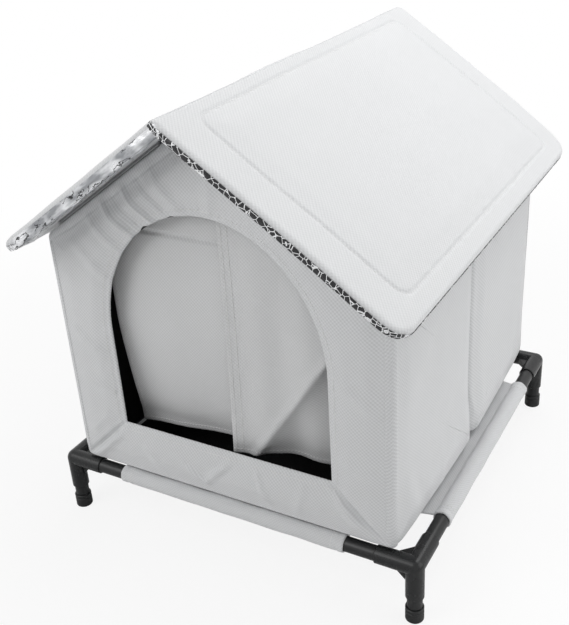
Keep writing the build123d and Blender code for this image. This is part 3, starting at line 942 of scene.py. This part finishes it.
def roof_rows(side):
    """A roof panel's loops in its own plane: a core, the sewn channel and the outline, anticlockwise from the front
    ridge corner. The front eave corner of the left panel is drawn out into a soft leaf."""
    lead = roof_thick * np.tan(slope)
    half = half_roof
    eave_front, eave_rear = (0.030, 0.034) if side > 0 else (0.060, 0.030)
    corners = [(-lead, -half), (roof_run, -half), (roof_run, half), (-lead, half)]
    outline = dense(corners, [0.003, eave_front, eave_rear, 0.010])
    counts = [fine // 3, fine // 2, fine // 3, fine // 2]
    outer = matched(outline, corners, counts)
    out_p = outer[:, 0]
    pull = np.clip((out_p - 0.05) / 0.2, 0, 1)
    outer = np.column_stack([out_p, outer[:, 1] * (1 - 0.004 * np.sin(np.pi * pull))])
    far, end = roof_run - channel_eave, half - channel_ends
    sewn_corners = [(channel_ridge, -end), (far, -end), (far, end), (channel_ridge, end)]
    channel = matched(dense(sewn_corners, [0.02] * 4), sewn_corners, counts)
    middle_line = np.column_stack([np.full(len(outer), roof_run / 2), np.clip(outer[:, 1], -0.12, 0.12)])
    core = paired(middle_line, counts[0])
    return core, channel, outer


def roof_bulge(p, y):
    """Swell of a roof panel's top: crown inside the channel, slow waves, and soft creases beside the channel."""
    padding = settings("shelter_padding")
    across = np.minimum(p - channel_ridge, roof_run - channel_eave - p)
    inside = np.clip(np.minimum(across, half_roof - channel_ends - np.abs(y)) / 0.03, 0, 1)
    inside = inside * inside * (3 - 2 * inside)
    lines = [
        (0.060, -0.150, 0.240, -0.170, 0.030, 0.0010),
        (0.090, 0.060, 0.260, 0.020, 0.035, -0.0008),
        (0.275, -0.246, 0.300, -0.290, 0.006, 0.0010),
        (0.070, 0.225, 0.250, 0.232, 0.010, 0.0010),
    ]
    total = padding.crown * 0.7 * inside + waves(p, y, 0.24, 0.0007) + waves(p, y, 0.07, 0.0002)
    return total + ridges(p, y, lines)


def droop(p, y, side):
    """How far the eave sags: most at the rear eave corner on the right, where the padding is soft."""
    rear = np.clip((y - 0.16) / 0.14, 0, 1) * np.clip((p - 0.16) / 0.14, 0, 1)
    front = np.clip((-y - 0.18) / 0.12, 0, 1) * np.clip((p - 0.18) / 0.12, 0, 1)
    slack = 0.007 * rear ** 1.5 + 0.0015 * front ** 1.5
    if side < 0:
        slack = 0.003 * rear ** 1.5 - 0.002 * front ** 1.5
    return slack


def hem_height(y, side):
    """Height of the cloth hem up the roof's edge: high along the front, where the foil shows, and low elsewhere."""
    front = np.clip((-y - (half_roof - 0.030)) / 0.020, 0, 1)
    front = front * front * (3 - 2 * front)
    return 0.0026 + (0.0046 if side > 0 else 0.0036) * front


def foil_sag(y, side):
    """How far the loose foil hangs below the roof along its front edge: d exp(-(gap/12 mm)^2)."""
    return (0.0050 if side < 0 else 0.0008) * np.exp(-(((half_roof + y) / 0.012) ** 2))


def make_roof_panel(x_name, side):
    """One roof panel: a cloth top with its sewn channel, and the foil below with its gathered edge."""
    core, channel, outer = roof_rows(side)
    step_in, step_out = inward(channel, 0.004), inward(channel, -0.004)
    seam = inward(outer, 0.0060)
    heights = [roof_thick + step for step in (0.0005, -0.0002, -0.0019, -0.0006, -0.0010)] + [0.0070]
    rows = [36, 4, 4, 10, 9]
    places, raised = rows_between(
        [core, step_in, channel, step_out, seam, outer], heights, rows, ["flat", "flat", "flat", "flat", "fall"]
    )
    p, y = places[..., 0], places[..., 1]
    fade = np.ones(p.shape)
    fade[-rows[-1]:] = np.linspace(1, 0.2, rows[-1])[:, None]
    hem = hem_height(outer[:, 1], side)
    lower = np.zeros(p.shape)
    lower[-rows[-1]:] = (np.arange(1, rows[-1] + 1) / rows[-1])[:, None] ** 3 * (hem - heights[-1])[None, :]
    high = raised + lower + roof_bulge(p, y) * fade - droop(p, y, side)
    channel_row = sum(rows[:2])
    pucker = np.sin(np.arange(p.shape[1]) * 2 * np.pi / 7.7) * 0.00018
    high[channel_row - 3: channel_row + 4] += pucker
    points = lay_on_slope(p, y, high, side)
    if side > 0:
        points[..., 0] = np.maximum(points[..., 0], 0.0002)
    else:
        points[..., 0] = np.minimum(points[..., 0], -0.0002)
    cover = grid(f"roof_{x_name}_cloth", points, pattern(places, raised), False, True)
    cover = tidy(cover)
    face_up(cover)
    thicken(cover, 0.0009, -1)
    body = f"roof_{x_name}"
    finish(cover, "roof_cloth", body, "cloth_light", f"roof_{x_name}_cover", f"roof_{x_name}_foam")
    normal = np.tile(np.array([side * np.sin(slope), 0, np.cos(slope)]), (p.shape[1] + 1, 1))
    loop = np.concatenate([points[channel_row], points[channel_row][:1]])
    stitches(f"roof_{x_name}_stitches", loop, normal, 0.0046, 0.0034, 0.00030, body)
    foil_outer = inward(outer, 0.0008)
    foil_turn = inward(outer, 0.0030)
    foil_in = inward(outer, 0.0100)
    under, low = rows_between(
        [foil_outer, foil_turn, foil_in, core], [0.0022, 0.0008, 0.0004, 0.0008], [8, 6, 44],
        ["fall", "flat", "flat"],
    )
    q, w = under[..., 0], under[..., 1]
    gap = np.minimum(roof_run - q, half_roof - np.abs(w))
    crinkle = crumple(q, w, 0.020, 0.0014) + crumple(q, w, 0.007, 0.0006)
    calm = np.clip((gap - 0.001) / 0.004, 0.35, 1) * np.where(gap < 0.068, 1.0, 0.15)
    level = low + (np.minimum(crinkle, 0.0016) - 0.0006) * calm - droop(q, w, side)
    level = np.where(gap > 0.046, np.maximum(level, 0.0004), level) - foil_sag(w, side)
    shape = lay_on_slope(q, w, level, side)
    if side > 0:
        shape[..., 0] = np.maximum(shape[..., 0], 0.0004)
    else:
        shape[..., 0] = np.minimum(shape[..., 0], -0.0004)
    foil = tidy(grid(f"roof_{x_name}_underside", shape, under, False, True))
    thicken(foil, 0.0003, -1)
    finish(foil, "silver_foil", body, "foil_silver", f"roof_{x_name}_foil")
    edge, share = rows_between(
        [inward(outer, 0.0002), inward(outer, 0.0004), inward(outer, 0.0012)], [1.0, 0.5, 0.0], [5, 5],
        ["flat", "flat"],
    )
    sag = foil_sag(edge[..., 1], side)
    edge_high = 0.0012 - sag + share * (hem[None, :] - 0.0004 + sag)
    e, f = edge[..., 0], edge[..., 1]
    tuck = np.random.default_rng(seed + 11).normal(0, 1, e.shape[1])
    tuck = np.convolve(np.r_[tuck[-2:], tuck, tuck[:2]], [0.1, 0.25, 0.3, 0.25, 0.1], "valid") * 0.0008
    strength = tuck * np.clip(hem / 0.007, 0.2, 1)
    ripple = np.sin(np.linspace(0, np.pi, e.shape[0]))[:, None] * strength[None, :]
    outward = edge - inward(edge[5], 0.002)[None]
    outward /= np.maximum(np.linalg.norm(outward, axis=-1, keepdims=True), 1e-9)
    bent = edge + outward * (0.0006 + np.abs(ripple))[..., None]
    trim = lay_on_slope(bent[..., 0], bent[..., 1], edge_high + ripple - droop(e, f, side), side)
    band = grid(f"roof_{x_name}_foil_edge", trim, edge, False, True)
    thicken(band, 0.0004, -1)
    finish(band, "gathered_foil" if side > 0 else "silver_foil", body, "foil_silver")


def face_up(made):
    """Turn an open sheet's faces so that most of them look upwards."""
    normals = np.empty(len(made.data.polygons) * 3)
    made.data.polygons.foreach_get("normal", normals)
    if normals.reshape(-1, 3)[:, 2].sum() < 0:
        made.data.flip_normals()


class SHELTER_OT_roof(bpy.types.Operator):
    """Sew the two roof panels and the strip under the ridge"""

    bl_idname = "shelter.roof"
    bl_label = "Roof"

    def execute(self, context):
        for x_name, side in (("left", -1), ("right", 1)):
            make_roof_panel(x_name, side)
        low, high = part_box("roof_ridge_strip")
        across = np.linspace(-1, 1, 41)
        along = np.linspace(low.y, high.y, 121)
        bow = 0.0017 + 0.0002 * np.cos(along * 60)[None, :]
        x = np.tile((across * high.x)[:, None], (1, len(along)))
        z = gable_peak - np.abs(x) * np.tan(slope) + bow
        y = np.tile(along, (len(across), 1))
        strip = grid("ridge_strip", np.stack([x, y, z], -1), np.stack([x, y], -1), False, False)
        face_up(strip)
        thicken(strip, 0.0010, 1)
        finish(strip, "sheet_cloth", "roof_ridge", "cloth_light", "roof_ridge_strip")
        return {"FINISHED"}


# Door flaps

def flap_mesh(name, left, right, front, bottom, cut, bends, body, hems):
    """Hanging cloth as a function of a across and b down: x between its two edges, z from the trimmed top to the
    hem, and y the sum of its long folds, its diagonal fold and its sag."""
    a = np.linspace(0, 1, 97)[None, :]
    b = np.linspace(0, 1, 161)[:, None]
    x_top = left[0] + (right[0] - left[0]) * a
    x_low = left[1] + (right[1] - left[1]) * a
    top = np.minimum(flap_hang, gable_peak - np.abs(x_top) * np.tan(slope) - flap_gable_gap)
    x = x_top + (x_low - x_top) * b ** 3
    z = top + (bottom(x_low) - top) * b
    points = np.stack([x, front + bends(x, z, b), z], -1)
    made = grid(name, points, points[..., [0, 2]], False, False)
    normals = np.empty(len(made.data.polygons) * 3)
    made.data.polygons.foreach_get("normal", normals)
    if normals.reshape(-1, 3)[:, 1].sum() > 0:
        made.data.flip_normals()
    thicken(made, 0.0009, -1)
    for number, (kind, index) in enumerate(hems):
        row = points[:, index] if kind == "side" else points[index]
        path = row + np.array([0, -0.0001, 0])
        forward = np.tile([0.0, -1.0, 0.0], (len(path), 1))
        stitches(f"{name}_stitches_{number}", path, forward, 0.0042, 0.0030, 0.00042, body)
    finish(made, "flap_cloth", body, "cloth_flap", cut)


def right_bends(x, z, b):
    """Right flap: gentle long folds, a raised hem, and the lower right corner folded inwards along a diagonal."""
    folds = 0.0016 * np.sin((x - 0.008) * 2 * np.pi / 0.052 - 0.6) * b ** 0.5
    broad = 0.0030 * np.sin((x - 0.03) * 2 * np.pi / 0.15) * b
    across = ((x - 0.0469) * (0.3089 - 0.166) - (z - 0.166) * (0.141 - 0.0469)) / 0.1711
    beyond = np.maximum(across, 0)
    corner = 0.013 * (1 - np.exp(-beyond / 0.012)) + 0.14 * beyond + 0.0020 * np.clip(across / 0.004, 0, 1)
    lip = -0.0020 * np.exp(-(((across + 0.004) / 0.005) ** 2)) * np.clip((0.32 - z) / 0.03, 0, 1)
    top_hold = np.clip((0.452 - z) / 0.10, 0, 1)
    edge = -0.0007 * near(x - 0.010, 0.006)
    return (folds + broad + lip) * top_hold + corner * top_hold + edge + 0.0010


def left_bends(x, z, b):
    """Left flap: a shadow fold near the top, one long soft fold, and the foot drawn inwards behind the other."""
    fold = 0.0009 * np.sin((x + 0.14) * 2 * np.pi / 0.085) * b
    foot = 0.016 * np.clip((0.30 - z) / 0.14, 0, 1) ** 1.3
    shelf = 0.0030 * np.exp(-(((z - 0.4155) / 0.0022) ** 2))
    return fold + foot + shelf + 0.0022


class SHELTER_OT_door_flaps(bpy.types.Operator):
    """Hang the two door flaps and the band over them"""

    bl_idname = "shelter.door_flaps"
    bl_label = "Door flaps"

    def execute(self, context):
        front = -inner_y + 0.0006
        flap_mesh(
            "flap_right_cloth", (0.010, 0.006), (0.154, 0.150), front,
            lambda x: 0.1510 - 0.03 * np.clip(x - 0.05, 0, 1),
            "flap_right", right_bends, "door_flap_right", [("side", 3), ("side", 8), ("low", -4)],
        )
        flap_mesh(
            "flap_left_cloth", (-0.147, -0.143), (0.040, 0.036), front + 0.0021,
            lambda x: 0.1420 + 0.10 * (x + 0.145),
            "flap_left", left_bends, "door_flap_left", [("side", 3), ("low", -4)],
        )
        low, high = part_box("flap_header")
        a = np.linspace(-1, 1, 61)[None, :]
        b = np.linspace(0, 1, 13)[:, None]
        half = high.x - 0.010 * b
        x = a * half
        z = low.z + (high.z - low.z) * b
        y = low.y + 0.0002 + 0.0002 * np.sin(x * 260) * np.sin(b * np.pi)
        level = z + 0 * x
        band = grid("flap_band", np.stack([x, y, level], -1), np.stack([x, level], -1), False, False)
        thicken(band, 0.0009, 1)
        finish(band, "flap_cloth", "front_wall", "cloth_flap", "flap_header")
        return {"FINISHED"}


# Cot sheet, liner and strips

def sleeve(half_length, across):
    """A sleeve round a rail: its radius with slow waves and end gathers, and a raised hem ring at each end."""
    t = np.linspace(-1, 1, 181)[:, None]
    turn = np.linspace(0, 2 * np.pi, 73)[None, :-1]
    u = t * half_length
    gather = np.exp(-(1 - np.abs(t)) * 22)
    ring = np.clip((np.abs(u) - (half_length - 0.0085)) / 0.0008, 0, 1)
    notch = np.exp(-((np.abs(u) - (half_length - 0.0090)) / 0.0010) ** 2)
    r = sleeve_r + 0.0001 + 0.00045 * ring - 0.00045 * notch + 0.00025 * gather * np.sin(turn * 6)
    r = r + 0.0003 * np.abs(np.sin(turn * 1.5 + u * 40)) + 0.0002 * np.sin(u * 95 + turn * 2)
    end_fold = np.clip((np.abs(t) - 0.994) / 0.006, 0, 1)
    r = r - end_fold * 0.0012
    c, s = r * np.cos(turn), r * np.sin(turn)
    along = np.tile(u, (1, turn.shape[1]))
    if across:
        points = np.stack([along, c, s], -1)
    else:
        points = np.stack([c, along, s], -1)
    return points, np.stack([np.tile(u, (1, 73)), np.tile(np.linspace(0, 1, 73) * sleeve_wrap, (181, 1))], -1)


class SHELTER_OT_cot_sheet(bpy.types.Operator):
    """Stretch the cot sheet between its four sleeves"""

    bl_idname = "shelter.cot_sheet"
    bl_label = "Cot sheet"

    def execute(self, context):
        places = (
            ("front", sleeve_half_x, True, 0, -frame_y), ("rear", sleeve_half_x, True, 0, frame_y),
            ("left", sleeve_half_y, False, -frame_x, 0), ("right", sleeve_half_y, False, frame_x, 0),
        )
        for name, half_length, across, x, y in places:
            points, uv = sleeve(half_length, across)
            points = points + np.array([x, y, rail_height])
            wrap = np.concatenate([points, points[:, :1]], 1)
            made = grid(f"sleeve_{name}", wrap, uv, False, False)
            finish(tidy(made), "sheet_cloth", "base", "cloth_light")
            thicken(made, 0.0008, -1)
            turn = 14
            for end, row in (("a", 9), ("b", -10)):
                ring = wrap[row]
                normal = ring - ring.mean(0)
                normal /= np.linalg.norm(normal, axis=1, keepdims=True)
                path = np.concatenate([ring[turn:-1], ring[: turn + 1]])
                up = np.concatenate([normal[turn:-1], normal[: turn + 1]])
                made = stitches(f"sleeve_{name}_stitches_{end}", path, up, 0.0042, 0.0028, 0.00038, "base")
        outline = self.deck_outline()
        t = np.linspace(0, 1, 60)[:, None, None]
        flat = outline[None] * t
        x, y = flat[..., 0], flat[..., 1]
        sag = -0.0012 * (1 - (x / frame_x) ** 2) * (1 - (y / frame_y) ** 2)
        z = liner_low.z + sag + waves(x, y, 0.09, 0.0003) * (1 - t[..., 0]) - 0.0006
        deck = tidy(grid("cot_deck", np.stack([x, y, z], -1), flat, False, True))
        face_up(deck)
        thicken(deck, 0.0010, -1)
        finish(deck, "sheet_cloth", "base", "cloth_light", "base_sheet")
        return {"FINISHED"}

    def deck_outline(self):
        """The deck's outline: straight sides over the rails and a quarter circle cut out at each corner."""
        radius = frame_x - sleeve_half_x
        angle = np.linspace(0, np.pi / 2, 40)
        parts = []
        for turn, (sx, sy) in enumerate(((-1, -1), (1, -1), (1, 1), (-1, 1))):
            swing = angle if turn % 2 else angle[::-1]
            x = sx * (frame_x - 0.001 - radius * np.cos(swing))
            y = sy * (frame_y - 0.001 - radius * np.sin(swing))
            parts.append(np.column_stack([x, y]))
        return even(np.vstack(parts), 320)


class SHELTER_OT_floor_liner(bpy.types.Operator):
    """Lay the floor liner, coloured near-black as painted shade for the inside of the house"""

    bl_idname = "shelter.floor_liner"
    bl_label = "Floor liner"

    def execute(self, context):
        x, y = min(inner_x - 0.0015, liner_high.x + 0.004), min(inner_y - 0.0015, liner_high.y + 0.004)
        corners = [(-x, -y), (x, -y), (x, y), (-x, y)]
        outline = even(dense(corners, [0.022] * 4), 320)
        inner = inward(outline, 0.003)
        thick = liner_high.z - liner_low.z
        core = np.zeros_like(outline)
        places, raised = closed_panel(
            [core, inner, outline], [thick, thick, thick / 2], [40, 6], ["flat", "fall"],
            [outline, inner, core], [thick / 2, 0.0002, 0.0002], [6, 20], ["flat", "flat"],
        )
        soft = waves(places[..., 0], places[..., 1], 0.10, 0.0003)
        soft[47:] = 0
        z = liner_low.z + raised + np.minimum(soft, 0)
        points = np.stack([places[..., 0], places[..., 1], z], -1)
        liner = tidy(grid("liner_pad", points, pattern(places, raised), False, True))
        # Near-black liner colour: painted shade for the inside of the house
        finish(liner, "liner_cloth", "base", "liner_black", "floor_liner")
        return {"FINISHED"}


def tape_pair(name, node, body, material, x_sides, y_sides):
    """Two tapes along a gable rake: a box section with rounded long edges, carried down the slope."""
    reach = np.linspace(tape_start, tape_end, 61)[:, None]
    turn = np.linspace(0, 2 * np.pi, 25)[None, :-1]
    across = 0.0055 * np.sign(np.cos(turn)) * np.abs(np.cos(turn)) ** 0.5
    up = 0.0007 * np.sign(np.sin(turn)) * np.abs(np.sin(turn)) ** 0.5
    raise_by = 0.0024 if material == "hook_tape" else 0.0007
    x = reach + 0 * turn
    z = gable_peak - x * np.tan(slope) + (raise_by + up) / np.cos(slope)
    uv = np.stack([x, np.tile(np.arange(24) * 0.001, (61, 1))], -1)
    spots = [(x_side, y_side) for x_side in x_sides for y_side in y_sides]
    for number, (x_side, y_side) in enumerate(spots):
        y = y_side * (half_y - wall_thick / 2) + across + 0 * x
        made = grid(f"{name}_{number}", np.stack([x_side * x, y, z], -1), uv, False, True)
        cap_ends(made)
        finish(made, material, body, "hook_grey", *((node,) if number == 0 else ()))


def cap_ends(made):
    """Close an open tube's two ends and point its faces outwards."""
    work = bmesh.new()
    work.from_mesh(made.data)
    bmesh.ops.holes_fill(work, edges=work.edges, sides=0)
    bmesh.ops.recalc_face_normals(work, faces=work.faces)
    work.to_mesh(made.data)
    work.free()


class SHELTER_OT_tapes(bpy.types.Operator):
    """Sew on the hook tapes of the roof and the loop tapes of the gables"""

    bl_idname = "shelter.tapes"
    bl_label = "Tapes"

    def execute(self, context):
        both, front, rear = (1, -1), (-1,), (1,)
        rows = (
            ("front_loop_tape", "front_wall_loop_strips", "front_wall", "loop_tape", both, front),
            ("rear_loop_tape", "rear_wall_loop_strips", "base", "loop_tape", both, rear),
            ("right_hook_tape", "roof_right_hook_strips", "roof_right", "hook_tape", (1,), (-1, 1)),
            ("left_hook_tape", "roof_left_hook_strips", "roof_left", "hook_tape", (-1,), (-1, 1)),
        )
        for row in rows:
            tape_pair(*row)
        return {"FINISHED"}


class SHELTER_OT_tube_frame(bpy.types.Operator):
    """Give the frame's connectors, caps, legs and rails their finishes"""

    bl_idname = "shelter.tube_frame"
    bl_label = "Tube frame"

    def execute(self, context):
        finishes = (("corner_connector", "connector_plastic"), ("foot_cap", "cap_rubber"), ("leg_", "tube_coat"),
                    ("rail_", "tube_coat"))
        for node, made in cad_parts.items():
            for start, material in finishes:
                if node.startswith(start):
                    made.data.materials.clear()
                    made.data.materials.append(bpy.data.materials[material])
        return {"FINISHED"}


# The studio

def lamp(name, watts, size, place, aim):
    """A square soft lamp at a place, turned towards an aim."""
    data = bpy.data.lights.new(name, "AREA")
    data.energy = watts
    data.size = size
    made = bpy.data.objects.new(name, data)
    bpy.context.scene.collection.objects.link(made)
    look = np.array(aim, float) - np.array(place, float)
    z = -look / np.linalg.norm(look)
    x = np.cross([0.02, 1.0, 0.05], z)
    x /= np.linalg.norm(x)
    y = np.cross(z, x)
    matrix = np.eye(4)
    matrix[:3, 0], matrix[:3, 1], matrix[:3, 2], matrix[:3, 3] = x, y, z, place
    made.matrix_world = Matrix(matrix.tolist())


def seen_directly(tree):
    """A mask that is 1 for camera, glossy and transmission rays."""
    path = tree.nodes.new("ShaderNodeLightPath")
    seen = math_node(tree, "MAXIMUM", path.outputs["Is Camera Ray"], path.outputs["Is Glossy Ray"])
    return math_node(tree, "MAXIMUM", seen, path.outputs["Is Transmission Ray"])


class SHELTER_OT_studio(bpy.types.Operator):
    """Set up the floor, the even sky, the lamps and the camera"""

    bl_idname = "shelter.studio"
    bl_label = "Studio"

    def execute(self, context):
        studio = settings("shelter_studio")
        scene = context.scene
        scene.view_settings.view_transform = "Standard"
        world = bpy.data.worlds.new("white_room")
        world.use_nodes = True
        scene.world = world
        tree = world.node_tree
        back = tree.nodes["Background"]
        back.inputs["Color"].default_value = (1, 1, 1, 1)
        seen = seen_directly(tree)
        strength = math_node(tree, "MULTIPLY_ADD", seen, 1 - studio.sky, studio.sky)
        tree.links.new(strength, back.inputs["Strength"])
        self.floor()
        lamp("overhead_lamp", studio.key, 1.6, (0.35, 0.55, 1.75), (0.05, 0.0, 0.4))
        lamp("right_lamp", studio.side, 1.2, (1.5, 0.1, 0.75), (0.0, 0.0, 0.3))
        lamp("front_lamp", studio.fill, 1.1, (-0.75, -1.35, 1.25), (0.0, -0.2, 0.25))
        self.camera(studio)
        return {"FINISHED"}

    def floor(self):
        """A wide floor disc, white to the camera, that keeps a soft shadow of the object."""
        t = np.linspace(0.0, 1, 24)[:, None]
        turn = np.linspace(0, 2 * np.pi, 65)[None, :-1]
        r = 3.0 * t ** 1.3
        points = np.stack([r * np.cos(turn), r * np.sin(turn), np.zeros((24, 64)) - 0.0002], -1)
        floor = tidy(grid("studio_floor", points, points[..., :2], False, True))
        face_up(floor)
        made, tree, shader = new_material("pale_floor", Roughness=0.9)
        shader.inputs["Base Color"].default_value = (0.86, 0.86, 0.86, 1)
        place = tree.nodes.new("ShaderNodeTexCoord").outputs["Object"]
        tree.links.new(bump(tree, noise(tree, place, 40, 3), 0.05, 0.0005), shader.inputs["Normal"])
        glow = tree.nodes.new("ShaderNodeEmission")
        clear = tree.nodes.new("ShaderNodeMixShader")
        path = tree.nodes.new("ShaderNodeLightPath")
        away = tree.nodes.new("ShaderNodeVectorMath")
        away.operation = "LENGTH"
        tree.links.new(place, away.inputs[0])
        fade = tree.nodes.new("ShaderNodeMapRange")
        fade.interpolation_type = "SMOOTHSTEP"
        for label, value in (("From Min", 0.45), ("From Max", 1.3), ("To Min", 0.86), ("To Max", 1.0)):
            fade.inputs[label].default_value = value
        tree.links.new(away.outputs["Value"], fade.inputs["Value"])
        share = math_node(tree, "MULTIPLY", path.outputs["Is Camera Ray"], fade.outputs["Result"])
        tree.links.new(share, clear.inputs[0])
        tree.links.new(shader.outputs[0], clear.inputs[1])
        tree.links.new(glow.outputs[0], clear.inputs[2])
        tree.links.new(clear.outputs[0], tree.nodes["Material Output"].inputs["Surface"])
        floor.data.materials.append(made)

    def camera(self, studio):
        """A camera at the photograph's viewpoint, turned by azimuth, elevation and roll."""
        data = bpy.data.cameras.new("viewpoint")
        data.lens = studio.lens
        data.clip_start, data.clip_end = 0.05, 20
        made = bpy.data.objects.new("viewpoint", data)
        bpy.context.scene.collection.objects.link(made)
        az, el, roll = np.radians([studio.azimuth, studio.elevation, studio.roll])
        back = np.array([np.sin(az) * np.cos(el), -np.cos(az) * np.cos(el), np.sin(el)])
        right = np.array([np.cos(az), np.sin(az), 0])
        up = np.cross(back, right)
        matrix = np.eye(4)
        matrix[:3, 0] = np.cos(roll) * right + np.sin(roll) * up
        matrix[:3, 1] = -np.sin(roll) * right + np.cos(roll) * up
        matrix[:3, 2] = back
        matrix[:3, 3] = studio.place
        made.matrix_world = Matrix(matrix.tolist())
        bpy.context.scene.camera = made


STEPS = ("studio", "finishes", "tube_frame", "front_wall", "rear_wall", "side_walls", "roof", "door_flaps",
         "cot_sheet", "floor_liner", "tapes")


class SHELTER_PT_panel(bpy.types.Panel):
    """Lists the sizes, colours and steps"""

    bl_idname = "SHELTER_PT_panel"
    bl_label = "Raised cat shelter"
    bl_space_type = "VIEW_3D"
    bl_region_type = "UI"
    bl_category = "Shelter"

    def draw(self, context):
        for values in (context.scene.shelter_cloth, context.scene.shelter_padding, context.scene.shelter_hardware,
                       context.scene.shelter_studio):
            for name in values.bl_rna.properties.keys():
                if name not in ("rna_type", "name"):
                    self.layout.prop(values, name)
        for step in STEPS:
            self.layout.operator(f"shelter.{step}")


GROUPS = (("shelter_cloth", ShelterCloth), ("shelter_padding", ShelterPadding),
          ("shelter_hardware", ShelterHardware), ("shelter_studio", ShelterStudio))
OPERATORS = (SHELTER_OT_studio, SHELTER_OT_finishes, SHELTER_OT_tube_frame, SHELTER_OT_front_wall,
             SHELTER_OT_rear_wall, SHELTER_OT_side_walls, SHELTER_OT_roof, SHELTER_OT_door_flaps,
             SHELTER_OT_cot_sheet, SHELTER_OT_floor_liner, SHELTER_OT_tapes, SHELTER_PT_panel)


def register():
    """Register the property groups, operators and panel."""
    for name, kind in GROUPS:
        bpy.utils.register_class(kind)
        setattr(bpy.types.Scene, name, bpy.props.PointerProperty(type=kind))
    for kind in OPERATORS:
        bpy.utils.register_class(kind)


def unregister():
    """Take the classes away again."""
    for kind in reversed(OPERATORS):
        bpy.utils.unregister_class(kind)
    for name, kind in reversed(GROUPS):
        delattr(bpy.types.Scene, name)
        bpy.utils.unregister_class(kind)


def main():
    register()
    for step in STEPS:
        getattr(bpy.ops.shelter, step)()


if __name__ == "__main__":
    main()
